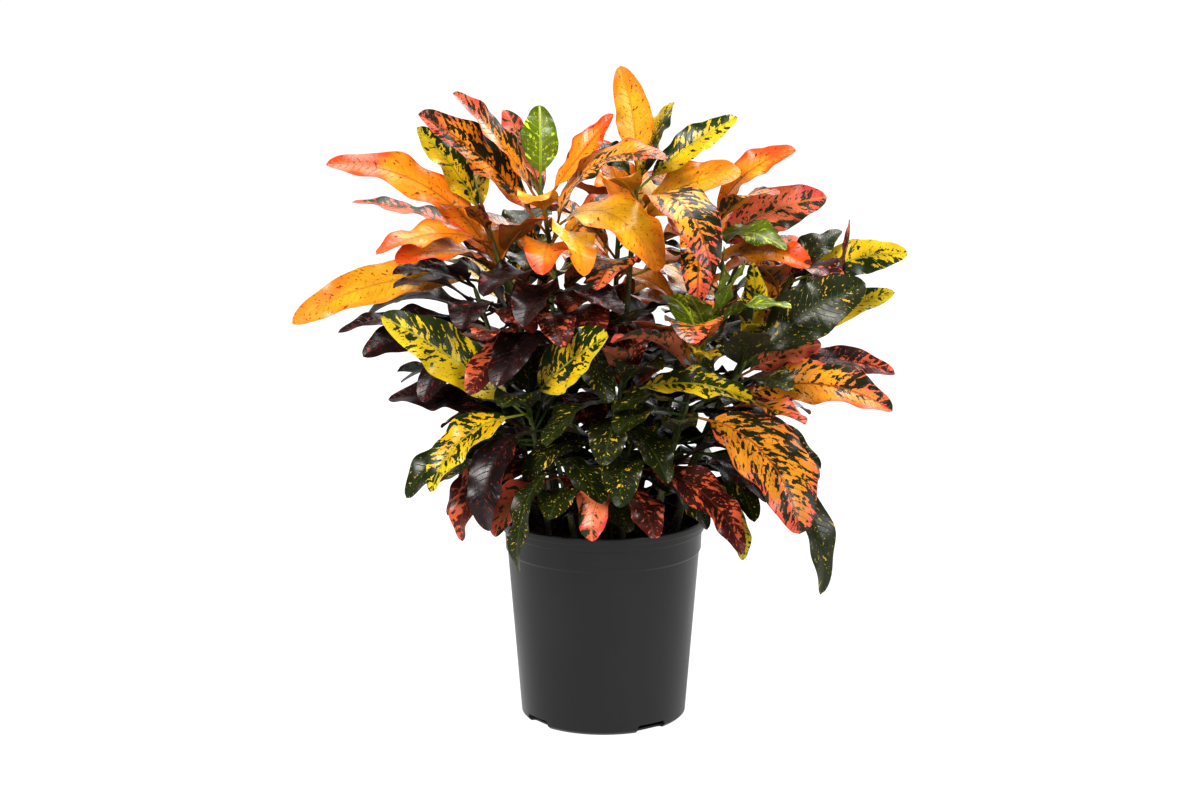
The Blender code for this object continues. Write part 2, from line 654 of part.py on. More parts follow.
def settle():
    """Give each shoot its leaves, each turned and lifted until it is clear of all the others."""
    guards = [("pot", pot_guard())] + [(shoot.name, stem_tree(shoot)) for shoot in SHOOTS]
    draws = {shoot.name: random.Random(shoot.name) for shoot in SHOOTS}
    wanted = [(shoot, dress(numbers, draws[shoot.name])) for shoot in SHOOTS for numbers in shoot.leaves]
    wanted += [(shoot, leaf) for shoot in SHOOTS for leaf in filler_leaves(shoot, draws[shoot.name])]
    placed = []
    settled = {shoot.name: [] for shoot in SHOOTS}
    for shoot, leaf in wanted:
        root = stem_point(shoot, shoot.tip[2] - leaf.drop - STALK_RADIUS * 2)
        for turn, lift in nudges():
            tried = leaf._replace(heading=leaf.heading + turn, rise=leaf.rise + lift)
            if is_clear(tried, root, shoot.name, placed, guards):
                placed.append((shoot.name, midrib(tried, root, 0.5)[0], LEAF_REACH * leaf.length,
                               leaf_tree(tried, root, 0.0), leaf_tree(tried, root, 0.0, BLADE_ROW)))
                settled[shoot.name].append((tried, root))
                break
    return settled


def make_leafy_stem(name, stem, leaves, surfaces, parts):
    """One leafy stem: its leaves are fused to it by a Boolean union that is then applied."""
    blades = bpy.data.collections.new("blades")
    for leaf, root in leaves:
        points, faces = leaf_shape(leaf, root)
        mesh = bpy.data.meshes.new("blade")
        mesh.from_pydata([point * MM for point in points], [], faces)
        mesh.materials.append(surfaces[leaf.look])
        add_object("blade", mesh, blades)
    whole = add_object(name, stem, parts)
    add_boolean(whole, "UNION", blades, solver="MANIFOLD")
    graph = bpy.context.evaluated_depsgraph_get()
    fused = bpy.data.meshes.new_from_object(whole.evaluated_get(graph))
    whole.modifiers.clear()
    whole.data = fused
    for blade in list(blades.objects):
        bpy.data.objects.remove(blade)
    bpy.data.collections.remove(blades)
    return whole


def main():
    """Build the potted croton."""
    for old in list(bpy.data.objects):
        bpy.data.objects.remove(old)
    parts = add_collection("potted_croton")
    cutters = add_collection("cutters")
    make_pot(parts, cutters)
    make_soil(parts, cutters)
    bark = material("stem_bark", STEM_COLOUR, 0.6)
    surfaces = {look: material(f"leaf_{look}", colour, 0.35) for look, colour in LEAF_COLOURS.items()}
    settled = settle()
    for shoot in SHOOTS:
        stem = make_stem(shoot, bark)
        make_leafy_stem(shoot.name, stem, settled[shoot.name], surfaces, parts)


main()
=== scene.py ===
"""The looks of the potted croton: a nursery pot, its soil and nineteen leafy stems.

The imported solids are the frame.  Each leafy stem is replaced by a fine one of the same form, whose
leaves stand where the solid's leaves do, because both follow the same rules and the same seeded
draws.  Lengths are in millimetres and angles in degrees, and MM turns lengths into metres.
The plant's front faces -Y, +Z is up, and the origin is the centre of the pot's flat underside.
"""

import json
import math
import random
from collections import namedtuple

import bmesh
import bpy
import numpy as np
from mathutils import Euler, Matrix, Vector, noise
from mathutils.bvhtree import BVHTree

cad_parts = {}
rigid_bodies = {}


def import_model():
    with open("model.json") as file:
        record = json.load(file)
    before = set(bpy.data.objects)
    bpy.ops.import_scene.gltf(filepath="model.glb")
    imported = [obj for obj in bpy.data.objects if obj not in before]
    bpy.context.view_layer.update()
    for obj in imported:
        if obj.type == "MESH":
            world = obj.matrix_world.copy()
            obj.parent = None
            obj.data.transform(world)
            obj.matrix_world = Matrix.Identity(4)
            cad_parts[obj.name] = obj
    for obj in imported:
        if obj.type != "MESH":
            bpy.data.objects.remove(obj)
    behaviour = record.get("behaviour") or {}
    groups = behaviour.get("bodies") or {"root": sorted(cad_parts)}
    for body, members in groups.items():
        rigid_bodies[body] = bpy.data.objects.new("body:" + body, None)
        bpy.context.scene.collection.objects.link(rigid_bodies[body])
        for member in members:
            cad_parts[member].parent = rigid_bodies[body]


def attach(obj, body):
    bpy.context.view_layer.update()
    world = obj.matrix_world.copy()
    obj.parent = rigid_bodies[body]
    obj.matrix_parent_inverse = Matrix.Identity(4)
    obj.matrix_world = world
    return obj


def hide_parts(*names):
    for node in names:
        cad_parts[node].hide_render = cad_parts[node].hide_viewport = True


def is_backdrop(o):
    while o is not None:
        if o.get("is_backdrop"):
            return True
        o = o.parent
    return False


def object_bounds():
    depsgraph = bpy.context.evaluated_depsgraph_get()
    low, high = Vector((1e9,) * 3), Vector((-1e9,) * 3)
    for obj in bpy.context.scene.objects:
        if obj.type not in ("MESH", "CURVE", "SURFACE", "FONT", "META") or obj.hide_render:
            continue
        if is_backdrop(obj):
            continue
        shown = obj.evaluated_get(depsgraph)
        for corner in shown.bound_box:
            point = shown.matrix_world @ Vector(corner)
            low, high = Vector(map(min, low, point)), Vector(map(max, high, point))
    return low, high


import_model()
cad_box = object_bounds()

MM = 0.001
UP = Vector((0.0, 0.0, 1.0))

# Pot: a moulded shell with a rolled lip, a step and a collar band above a plain tapering wall.
POT_HEIGHT = 250.0
RIM_RADIUS = 127.5
STEP_RADIUS = 121.5
COLLAR_RADIUS = 118.0
SHOULDER_RADIUS = 115.0
BASE_RADIUS = 98.5
WALL = 2.4
LIP_ROUND = 1.3
LEDGE_FALL = 0.6
DRAFT = 0.45
INNER_RISE = 1.6
FOOT_ROUND = 4.0
FOOT_BAND = 12.0
POT_SIDES = 32

# Heights of the rim's steps, from the lip down.
LIP_FOOT = POT_HEIGHT - 9.0
STEP_FOOT = LIP_FOOT - 9.5
COLLAR_FOOT = STEP_FOOT - 24.5
SHOULDER_HEIGHT = COLLAR_FOOT - 2.0

# Drainage notches, cut through the bottom corner of the wall.
NOTCH_COUNT = 4
NOTCH_FIRST = 36.0
NOTCH_WIDTH = 40.0
NOTCH_HEIGHT = 10.0
NOTCH_DEPTH = 11.0
NOTCH_ROUND = 4.0

# Soil: fills the pot, and stands a gap away from its wall and from every stem.
SOIL_TOP = 222.0
SOIL_MOUND = 5.0
GAP = 0.4

# Stems: round, rising from plain holes in the soil, upright first and then leaning outward.
HOLE_FLOOR = 170.0
STEM_START = 232.0
STEM_RADIUS = 4.4
STEM_TIP_RADIUS = 2.6
STEM_LEAN = 1.35
STEM_JOINTS = 4
STEM_SIDES = 6

# Leaves: a slim stalk that widens into a long blade with waved edges, folded along its midrib.
STALK_SHARE = 0.17
STALK_JOINT = 0.75
STALK_RADIUS = 1.6
STALK_FLATNESS = 0.8
BLADE_THICKNESS = 1.0
SPAN_LENGTH = 34.0
FEWEST_SPANS = 4
MOST_SPANS = 6
BLADE_SKEW = 0.9
BASE_BLUNTNESS = 0.95
TIP_BLUNTNESS = 0.46
MARGIN_PHASE = 0.6
TIP_HALF_WIDTH = 1.2

# How much leaves differ: the height of their waves, how sharply they fold along the midrib, and
# how far they twist and curve sideways to either hand.
WAVES = (3.0, 6.5)
FOLDS = (4.0, 16.0)
TWIST = 30.0
BOW = 12.0

# Leaves added by the spiral rule: how far down the shoot they run, their rise from the top of the
# shoot to the bottom, and their sizes.
FILLER_TOP = 0.08
FILLER_FOOT = 0.74
FILLER_RISE_TOP = 60.0
FILLER_RISE_FOOT = 15.0
FILLER_LENGTHS = (132.0, 186.0)
FILLER_WIDTHS = (56.0, 74.0)
FILLER_DROOPS = (40.0, 80.0)

# Leaves that would touch something are turned and lifted in growing steps on a spiral.
GOLDEN_ANGLE = math.radians(137.5)
NUDGE = 2.4
NUDGE_LIMIT = 300
CLEARANCE = 1.4
POT_CLEARANCE = 2.0
LEAF_REACH = 0.6
BLADE_ROW = 1

# A leaf's cross-section has six corners, left to right above and right to left below.  The strips
# that start at these corners are split by one diagonal and the rest by the other, so a blade's two
# faces are split alike and never cross.
RING = 6
ALIKE_CORNERS = (0, 3, 5)

# The lower leaves of a shoot grow in the bush's shade and are dark.
INNER_SHARE = 0.5
INNER_LOOKS = ("forest", "night", "ember", "forest")

# Inner leaves: small leaves between the others, too many for the solids.  Those low on a shoot
# are in the shade and dark, with painted shade darkening their colours and dulling their shine.
INNER_LEAVES = 14
INNER_BRIGHT = 0.36
INNER_TOP = 0.05
INNER_FOOT = 0.94
INNER_RISE_TOP = 58.0
INNER_RISE_FOOT = -6.0
INNER_LENGTHS = (86.0, 146.0)
INNER_WIDTHS = (40.0, 60.0)
INNER_DROOPS = (30.0, 80.0)
INNER_REACH = 95.0
INNER_FLOOR = 275.0
# Painted shade: the colours of the shaded inner leaves, and of their ribs, are multiplied by this.
INNER_SHADE = 0.45

# Fine blades: how finely they are drawn, and the relief on them.
FINE_ROWS = 56
FINE_COLUMNS = 12
INNER_ROWS = 30
INNER_COLUMNS = 8
FINE_TIP = 0.35
TIP_SHARPNESS = 8
FINE_THICKNESS = 0.6
EDGE_THINNING = 0.6
RIPPLES = 34.0
RIPPLE_HEIGHT = 1.3
LOBES = 13.0
LOBE_DEPTH = 0.035
FOLD_ROUND = 2.0
WAVE_CURVE = 2
RIPPLE_CURVE = 3
EDGE_CURVE = 4

# Veins: lateral veins leave the midrib this far apart and sweep forward and then curl.
VEIN_PITCH = 8.5
VEIN_SWEEP = 0.55
VEIN_CURL = 0.012
VEIN_START = 40.0
QUILT_HEIGHT = 0.55
QUILT_ROUND = 0.7
QUILT_LEVEL = 0.6
QUILT_FADE = 0.6
QUILT_ENDS = 0.3
PATTERN_OUT = 10.0
MIDRIB_DEPTH = 0.5
MIDRIB_WIDTH = 2.2

# Stalks and the ribs that they run on as, under the blade.
RIB_RINGS = 18
RIB_SIDES = 8
RIB_END = 0.93
RIB_TAPER = 0.8
RIB_SINK = 0.6
RIB_TAPER_CURVE = 0.6

# Stems: fine tubes with rings where leaves have fallen.
STEM_RINGS = 60
STEM_FINE_SIDES = 16
SCAR_PITCH = 9.0
SCAR_SWELL = 0.10
SCAR_CURVE = 6
SCAR_PHASES = 6.0
BUD_SHARE = 0.8
BUD_TIP = 0.4

# Material slots of a leafy stem, and the values kept at its points.
BLADE_SLOT = 0
STALK_SLOT = 1
WOOD_SLOT = 2
# The slot of the blade's dimmed copy, whose low shine is painted shade on the shaded inner leaves.
SHADE_SLOT = 3
POINT_VALUES = ("blade_place", "vein_place", "ground", "blotch", "margin", "vein", "pattern")
SEED_CYCLE = 97
SEEDS_A_STEM = 100

# Linear colours of the wood, from the soil to the shoot's tip.
WOOD_COLOUR = (0.085, 0.065, 0.040)
GREEN_WOOD_COLOUR = (0.13, 0.17, 0.045)

# Leaf patterns, in linear colours: the ground, the margin, the blotches on it, the veins, how much
# of the blade the blotches cover, how unlike the blade's two halves are, and the stalk's colour.
Look = namedtuple("Look", "ground margin blotch vein coverage halves stalk")
LOOKS = {
    "sunset": Look((0.86, 0.29, 0.012), (0.76, 0.09, 0.012), (0.12, 0.012, 0.006), (0.62, 0.12, 0.008),
                   0.08, 0.05, (0.50, 0.18, 0.02)),
    "amber": Look((0.85, 0.44, 0.018), (0.82, 0.24, 0.012), (0.30, 0.04, 0.005), (0.72, 0.26, 0.010),
                  0.04, 0.02, (0.50, 0.28, 0.02)),
    "tiger": Look((0.82, 0.32, 0.022), (0.78, 0.13, 0.070), (0.020, 0.020, 0.004), (0.30, 0.05, 0.008),
                  0.44, 0.16, (0.35, 0.14, 0.02)),
    "lemon": Look((0.78, 0.50, 0.012), (0.70, 0.54, 0.02), (0.020, 0.034, 0.003), (0.52, 0.40, 0.02),
                  0.46, 0.26, (0.26, 0.30, 0.03)),
    "night": Look((0.013, 0.006, 0.006), (0.022, 0.007, 0.007), (0.30, 0.03, 0.02), (0.04, 0.010, 0.010),
                  0.10, 0.04, (0.04, 0.014, 0.010)),
    "ember": Look((0.045, 0.010, 0.006), (0.10, 0.011, 0.009), (0.62, 0.13, 0.050), (0.16, 0.026, 0.012),
                  0.30, 0.10, (0.12, 0.025, 0.015)),
    "forest": Look((0.016, 0.022, 0.003), (0.021, 0.029, 0.004), (0.62, 0.40, 0.04), (0.038, 0.053, 0.007),
                   0.07, 0.04, (0.05, 0.09, 0.012)),
    "fresh": Look((0.12, 0.18, 0.007), (0.11, 0.16, 0.006), (0.55, 0.58, 0.03), (0.60, 0.62, 0.05),
                  0.22, 0.06, (0.18, 0.28, 0.02)),
    "coral": Look((0.76, 0.20, 0.085), (0.64, 0.08, 0.060), (0.032, 0.038, 0.008), (0.75, 0.26, 0.09),
                  0.36, 0.20, (0.32, 0.10, 0.04)),
}
COLOUR_SPREAD = 0.16
WARMTH_SHARE = 0.5
COVERAGE_SPREAD = 0.06
TUBE_REFERENCE = (0.31, -0.95, 0.05)

# How the blade's pattern is drawn: stretches of its noises along (across veins, out, leaf) ...
HALF = 0.5
NOISE_LOW = 0.3
NOISE_HIGH = 0.7
VEIN_LINE = 0.07
VEIN_FULL = 0.3
VEIN_STRENGTH = 0.45
MIDRIB_LINE = 0.16
MIDRIB_STRENGTH = 0.75
SEED_STEP = 7.3
BLOTCH_SCALE = (0.95, 1.05, SEED_STEP)
PATCH_SCALE = (0.16, 0.40, SEED_STEP + 1.7)
SPECK_SCALE = (2.6, 3.2, SEED_STEP + 3.1)
SHADE_SCALE = (0.30, 0.50, SEED_STEP + 5.9)
GLOSS_SCALE = (0.50, 0.60, SEED_STEP + 7.7)
GRAIN_SCALE = (9.0, 11.0, SEED_STEP + 9.1)
BLOTCH_NOISE = (1.0, 4.0, 0.62, 0.4)
BLOTCH_VEIN = 0.16
BLOTCH_NONE = 0.70
BLOTCH_FULL = 0.30
BLOTCH_SOFTNESS = 0.008
PATCH_SWING = 0.95
SPECK_START = 0.67
SPECK_SOFTNESS = 0.02
SPECK_STRENGTH = 0.85
BLUSH_EDGE = 0.65
BLUSH_TIP = 0.80
BLUSH_START = 0.55
BLUSH_PATCH = 2.2
BLUSH_CURVE = 3.0
BLUSH_RANGE = (0.05, 0.85)
SHADE_RANGE = (0.72, 1.0)
UNDER_PALENESS = 0.30
UNDER_COLOUR = (0.07, 0.055, 0.045, 1.0)
UNDER_ROUGHNESS = 0.22
BLADE_ROUGHNESS = (0.24, 0.36)
BLADE_BUMP = 0.25
GRAIN_SHARE = 0.25
BLADE_SHINE = 0.34
# Painted shade: the shaded inner leaves shine this little, in a dimmed copy of the blade's surface.
SHADE_SHINE = 0.06
STALK_SHINE = 0.15

# Stalks and wood: stretches of their streaks, cracks and pores, and how these shade the colour.
STALK_STREAKS = (260.0, 260.0, 60.0)
STALK_SHADES = (0.72, 1.12)
STALK_ROUGHNESS = 0.42
STALK_BUMP = 0.15
WOOD_CRACKS = (420.0, 420.0, 70.0)
WOOD_PORES = (900.0, 900.0, 420.0)
WOOD_SHADES = (0.55, 1.25)
WOOD_ROUGHNESS = 0.62
WOOD_BUMP = 0.35
PORE_RANGE = (0.66, 0.72)
PORE_STRENGTH = 0.6
PORE_COLOUR = (0.30, 0.25, 0.17, 1.0)

# Pot: rounding of the fine section's corners, and the plastic's colours.
POT_ROUND = 1.2
POT_ROUND_STEPS = 3
POT_FINE_SIDES = 180
NOTCH_ROUND_STEPS = 5
SHARP_ANGLE = 42.0
POT_BLACK = (0.005, 0.005, 0.005, 1.0)
POT_DUSTY = (0.009, 0.009, 0.009, 1.0)
POT_SCUFF = (0.04, 0.04, 0.04, 1.0)
POT_SHINE = 0.50
POT_ROUGHNESS = (0.30, 0.44)
POT_GRAIN = 1400.0
POT_BUMP = 0.10
DUST_SCALE = (14.0, 14.0, 5.0)
DUST_RANGE = (0.40, 0.75)
SCUFF_SCALE = (60.0, 60.0, 900.0)
SCUFF_RANGE = (0.60, 0.72)
SCUFF_DUST = (0.45, 0.60)
SCUFF_STRENGTH = 0.35
SCUFF_ROUGHNESS = 0.15
CORNER_SHARE = 0.45
MERGE_DISTANCE = 0.00001

# Soil: lumps on its top, and what lies on it.
SOIL_RINGS = 46
SOIL_SIDES = 150
SOIL_SKIRT = 9.0
SOIL_LUMP = 17.0
SOIL_LUMP_HEIGHT = 2.2
SOIL_CRUMB = 4.5
SOIL_CRUMB_HEIGHT = 1.6
SOIL_DARK = (0.008, 0.005, 0.003, 1.0)
SOIL_LIGHT = (0.045, 0.028, 0.016, 1.0)
PEAT_SCALE = 170.0
PEAT_RANGE = (0.35, 0.70)
PEAT_ROUGHNESS = 0.95
PEAT_BUMP = 2.5
CHIPS = 150
CHIP_SIZES = (6.0, 15.0)
CHIP_DARK = (0.030, 0.014, 0.007, 1.0)
CHIP_LIGHT = (0.16, 0.080, 0.038, 1.0)
CHIP_STREAKS = (500.0, 90.0, 500.0)
CHIP_RANGE = (0.35, 0.65)
CHIP_ROUGHNESS = 0.85
CHIP_BUMP = 0.5
CHIP_FLATNESS = 0.35
PERLITE = 70
PERLITE_SIZES = (2.0, 4.2)
PERLITE_DARK = (0.20, 0.16, 0.12, 1.0)
PERLITE_LIGHT = (0.62, 0.60, 0.56, 1.0)
PERLITE_PITS = 900.0
PERLITE_RANGE = (0.30, 0.55)
PERLITE_ROUGHNESS = 0.9
PERLITE_BUMP = 0.4
PERLITE_FLATNESS = 0.8

# Loose bits: how far they stray, tilt and sink, how wide they are, and how their points are dented.
SCATTER_SWING = 0.3
CRUMB_TILT = 0.5
CRUMB_SINK = 0.3
CRUMB_WIDTHS = (0.45, 0.8)
CRUMB_DENTS = (-0.15, 0.25)

# Stage, in metres: the floor, the lights (name, place, size, watts, colour) and the sky.
STAGE_FRONT = 9.0
STAGE_BACK = 7.0
STAGE_CURVE = 2.5
STAGE_HEIGHT = 7.0
STAGE_WIDTH = 12.0
STAGE_STEPS = 24
FLOOR_COLOUR = (0.04, 0.04, 0.04, 1.0)
FLOOR_ROUGHNESS = 0.9
FLOOR_GLOW = 1.0
WHITE = (1.0, 1.0, 1.0, 1.0)
LIGHTS = [
    ("key", (-2.3, -2.6, 2.7), 1.6, 210.0, (1.0, 0.985, 0.96)),
    ("fill", (2.8, -2.2, 1.7), 2.0, 100.0, (0.96, 0.98, 1.0)),
    ("top", (0.3, 0.9, 3.0), 1.8, 88.0, (1.0, 1.0, 1.0)),
    ("back", (1.4, 3.0, 2.0), 2.0, 60.0, (1.0, 1.0, 1.0)),
]
SKY_STRENGTH = 0.15
GRADE_GAMMA = 0.85

# Camera, in metres and degrees.
CAMERA_TARGET = (0.0, 0.0, 0.38)
CAMERA_DISTANCE = 4.0
CAMERA_RISE = 12.9
CAMERA_LENS = 100.8
CAMERA_SHIFT = (-0.0029, 0.0047)
SENSOR_WIDTH = 36.0

Leaf = namedtuple("Leaf", "drop heading rise length width droop face look wave fold twist bow")
Shoot = namedtuple("Shoot", "name foot tip filler looks leaves")

# Each shoot: its name, where it leaves the soil, its tip, how many leaves the spiral rule adds,
# the looks of those, and the leaves that are set one by one.  A leaf's numbers are how far below
# the tip it sits, its heading (0 right, 90 back, 180 left, 270 front), its rise at the start, its
# length with the stalk, its width, how far it droops by its end, and how far its face is turned
# towards the front.  Leaves keep clear of those before them, so the front shoots come first.
SHOOTS = [
    Shoot("stem_left_front", (-64, -64), (-90, -112, 418), 2, ("forest",), [
        (28, 190, 42, 214, 66, 18, 60, "lemon"),
        (20, 203, -4, 160, 50, 70, 30, "lemon"),
        (35, 230, -14, 160, 50, 96, 10, "night"),
        (55, 184, 4, 178, 52, 60, 35, "forest"),
        (62, 172, 8, 150, 46, 60, 20, "forest"),
        (8, 322, 46, 150, 70, 20, 70, "lemon"),
        (45, 166, 28, 184, 52, 42, 30, "night"),
        (75, 204, -4, 156, 44, 96, 20, "ember"),
        (50, 150, 30, 140, 46, 70, 0, "ember"),
    ]),
    Shoot("stem_front", (6, -66), (22, -108, 440), 3, ("forest", "ember"), [
        (18, 350, 16, 164, 40, 40, 38, "lemon"),
        (0, 66, 50, 112, 46, 40, 0, "ember"),
        (28, 222, 8, 130, 54, 60, -10, "forest"),
        (45, 262, 2, 108, 50, 60, 0, "forest"),
        (0, 262, 50, 84, 36, 30, 0, "coral"),
        (60, 304, 2, 118, 48, 70, 0, "forest"),
        (80, 200, 14, 130, 50, 80, 20, "forest"),
    ]),
    Shoot("stem_right_low", (58, -76), (98, -112, 410), 2, ("forest",), [
        (12, 321, -2, 222, 90, 84, 24, "tiger"),
        (50, 12, 18, 194, 50, 62, 30, "forest"),
        (60, 337, 4, 288, 54, 106, 20, "forest"),
        (75, 332, -16, 156, 42, 80, 10, "lemon"),
        (0, 200, 46, 110, 48, 50, 0, "forest"),
    ]),
    Shoot("stem_front_right", (22, -90), (24, -112, 348), 0, ("forest",), [
        (12, 330, 2, 192, 52, 78, 24, "ember"),
        (0, 290, 24, 116, 50, 80, 0, "forest"),
        (0, 196, 34, 138, 54, 60, -10, "forest"),
        (30, 238, 4, 112, 46, 92, 0, "coral"),
        (20, 2, 30, 128, 50, 64, 20, "forest"),
        (5, 60, 44, 120, 50, 60, 0, "forest"),
        (34, 296, -8, 96, 44, 60, 0, "ember"),
    ]),
    Shoot("stem_front_left", (-34, -88), (-56, -108, 346), 0, ("forest",), [
        (10, 240, 2, 172, 34, 108, -20, "forest"),
        (24, 218, 6, 120, 42, 84, 20, "coral"),
        (0, 288, 26, 110, 48, 70, 0, "forest"),
        (20, 190, 16, 158, 50, 80, 30, "ember"),
        (0, 140, 46, 124, 50, 60, 0, "forest"),
        (30, 330, 10, 106, 46, 70, 10, "forest"),
    ]),
    Shoot("stem_right", (86, -38), (166, -96, 458), 2, ("tiger", "forest"), [
        (10, 0, 44, 176, 70, 16, 62, "forest"),
        (50, 12, 29, 218, 46, 56, 30, "ember"),
        (58, 358, 25, 214, 60, 54, 45, "tiger"),
        (70, 32, 18, 144, 46, 60, 20, "ember"),
        (15, 24, 60, 132, 34, -34, 40, "lemon"),
        (22, 14, 22, 108, 42, 20, 40, "coral"),
        (5, 284, 56, 90, 38, 30, 0, "lemon"),
        (30, 300, 18, 116, 48, 40, 10, "forest"),
    ]),
    Shoot("stem_left_top", (-52, 6), (-140, 0, 610), 3, ("tiger", "sunset"), [
        (70, 190, 60, 268, 54, 62, 45, "sunset"),
        (40, 170, 30, 184, 38, 30, 10, "coral"),
        (30, 214, 26, 176, 44, 40, 20, "sunset"),
        (80, 195, 11, 266, 52, 46, 48, "amber"),
        (62, 224, 30, 162, 56, 52, 20, "sunset"),
        (10, 167, 52, 142, 42, 24, 45, "lemon"),
        (0, 120, 60, 98, 32, 20, 0, "lemon"),
    ]),
    Shoot("stem_crown_left", (-24, 26), (-75, 10, 645), 2, ("sunset", "tiger"), [
        (0, 80, 84, 96, 46, 14, 0, "fresh"),
        (60, 206, 54, 228, 62, 26, 52, "tiger"),
        (30, 190, 59, 186, 54, 22, 40, "tiger"),
        (10, 148, 80, 114, 42, 20, 0, "coral"),
        (20, 352, 54, 134, 36, 12, 45, "sunset"),
        (75, 335, 76, 226, 54, 92, 30, "tiger"),
        (40, 262, 45, 116, 46, 62, 0, "amber"),
        (55, 316, 34, 206, 84, 104, 10, "amber"),
        (72, 288, 34, 166, 54, 92, -20, "amber"),
        (20, 128, 62, 120, 36, 20, 10, "lemon"),
        (125, 234, 32, 156, 62, 62, 0, "night"),
        (160, 286, 26, 156, 62, 70, 0, "ember"),
    ]),
    Shoot("stem_crown", (14, 28), (40, 12, 650), 3, ("sunset", "amber"), [
        (0, 120, 88, 138, 46, 12, 15, "amber"),
        (10, 356, 44, 148, 42, 16, 50, "lemon"),
        (0, 154, 46, 88, 32, 30, 20, "forest"),
        (60, 338, 50, 160, 68, 50, 42, "amber"),
        (45, 296, 36, 214, 64, 128, 10, "tiger"),
        (20, 250, 42, 100, 46, 40, 0, "amber"),
        (15, 40, 66, 124, 46, 30, 0, "lemon"),
        (115, 258, 34, 160, 62, 70, 0, "tiger"),
        (160, 226, 26, 156, 62, 62, 0, "ember"),
        (180, 306, 22, 156, 60, 66, 0, "forest"),
    ]),
    Shoot("stem_crown_right", (58, 18), (132, 18, 612), 4, ("tiger", "sunset"), [
        (22, 346, 68, 148, 46, 60, 40, "sunset"),
        (45, 2, 36, 160, 60, 22, 58, "coral"),
        (50, 266, 40, 196, 48, 130, 0, "tiger"),
        (35, 322, 26, 116, 46, 60, 20, "fresh"),
        (12, 200, 55, 100, 42, 30, 20, "tiger"),
        (70, 330, 40, 154, 52, 70, 30, "sunset"),
    ]),
    Shoot("stem_right_upper", (84, -2), (226, 6, 540), 3, ("forest", "tiger"), [
        (10, 4, 24, 148, 46, 22, 55, "lemon"),
        (20, 25, 52, 104, 44, 40, 30, "forest"),
        (40, 352, 22, 160, 40, -78, 30, "ember"),
        (0, 318, 34, 104, 42, 90, 20, "ember"),
        (90, 358, 28, 186, 40, 20, 50, "lemon"),
        (0, 180, 60, 90, 36, 30, 0, "tiger"),
    ]),
    Shoot("stem_right_fresh", (62, -42), (126, -112, 505), 3, ("fresh", "tiger"), [
        (0, 200, 78, 92, 32, 10, 10, "fresh"),
        (5, 320, 80, 92, 32, 10, 10, "fresh"),
        (15, 250, 62, 76, 30, 10, 0, "fresh"),
        (66, 222, 26, 166, 58, 54, -10, "coral"),
        (45, 282, 30, 88, 40, 46, 0, "lemon"),
        (50, 60, 60, 110, 44, 30, 0, "tiger"),
    ]),
    Shoot("stem_left_dark", (-78, -22), (-152, -42, 535), 4, ("night", "ember"), [
        (45, 198, 16, 180, 30, 42, 15, "night"),
        (0, 187, 30, 100, 38, 50, 20, "night"),
        (25, 262, 24, 116, 52, 62, 0, "night"),
        (0, 232, 46, 88, 38, 40, 0, "night"),
        (55, 204, 12, 156, 52, 50, 40, "night"),
        (60, 240, 10, 132, 54, 70, 10, "night"),
        (35, 300, 24, 116, 50, 60, 0, "ember"),
    ]),
    Shoot("stem_centre_dark", (-28, -40), (-62, -72, 530), 5, ("night", "forest"), [
        (10, 250, 26, 122, 50, 70, 0, "night"),
        (45, 242, 14, 142, 58, 80, 0, "night"),
        (20, 282, 22, 110, 46, 62, 0, "ember"),
        (0, 316, 34, 118, 42, 70, 10, "night"),
        (40, 300, 20, 130, 50, 62, 0, "forest"),
        (60, 208, 16, 154, 52, 60, 20, "ember"),
    ]),
    Shoot("stem_back_left", (-58, 60), (-128, 112, 560), 10, ("tiger", "forest", "lemon"), []),
    Shoot("stem_back", (6, 82), (20, 150, 600), 10, ("sunset", "tiger", "forest"), []),
    Shoot("stem_back_right", (66, 62), (168, 122, 540), 9, ("forest", "tiger", "lemon"), []),
    Shoot("stem_back_low_left", (-30, 84), (-66, 118, 372), 7, ("forest", "ember"), []),
    Shoot("stem_back_low_right", (42, 86), (82, 120, 380), 6, ("lemon", "forest"), []),
]


# ---------------------------------------------------------------- where the leaves stand


def stem_point(shoot, height):
    """Centre of a shoot's stem at a height above the pot's foot."""
    climbed = max(0.0, (height - STEM_START) / (shoot.tip[2] - STEM_START))
    foot = Vector((*shoot.foot, 0.0))
    lean = Vector((shoot.tip[0], shoot.tip[1], 0.0)) - foot
    return foot + lean * climbed ** STEM_LEAN + UP * height


def stem_heights(shoot):
    """Heights of the points that a shoot's stem is drawn through."""
    climb = shoot.tip[2] - STEM_START
    return [HOLE_FLOOR] + [STEM_START + climb * joint / STEM_JOINTS for joint in range(STEM_JOINTS + 1)]


def stem_radius(shoot, height):
    """A stem's radius at a height: it tapers from the soil to its tip."""
    climbed = max(0.0, (height - STEM_START) / (shoot.tip[2] - STEM_START))
    return STEM_RADIUS + (STEM_TIP_RADIUS - STEM_RADIUS) * climbed


def ring_faces(rings, sides):
    """Triangles that join rings of points, each ring to the next."""
    faces = []
    for ring in range(rings - 1):
        for side in range(sides):
            a = ring * sides + side
            b = ring * sides + (side + 1) % sides
            faces += [(a, b, b + sides), (a, b + sides, a + sides)]
    return faces


def stem_tree(shoot):
    """A search tree over a shoot's stem."""
    points = []
    for height in stem_heights(shoot):
        for side in range(STEM_SIDES):
            angle = 2 * math.pi * side / STEM_SIDES
            outward = Vector((math.cos(angle), math.sin(angle), 0.0))
            points.append(stem_point(shoot, height) + outward * stem_radius(shoot, height))
    return BVHTree.FromPolygons(points, ring_faces(len(points) // STEM_SIDES, STEM_SIDES))


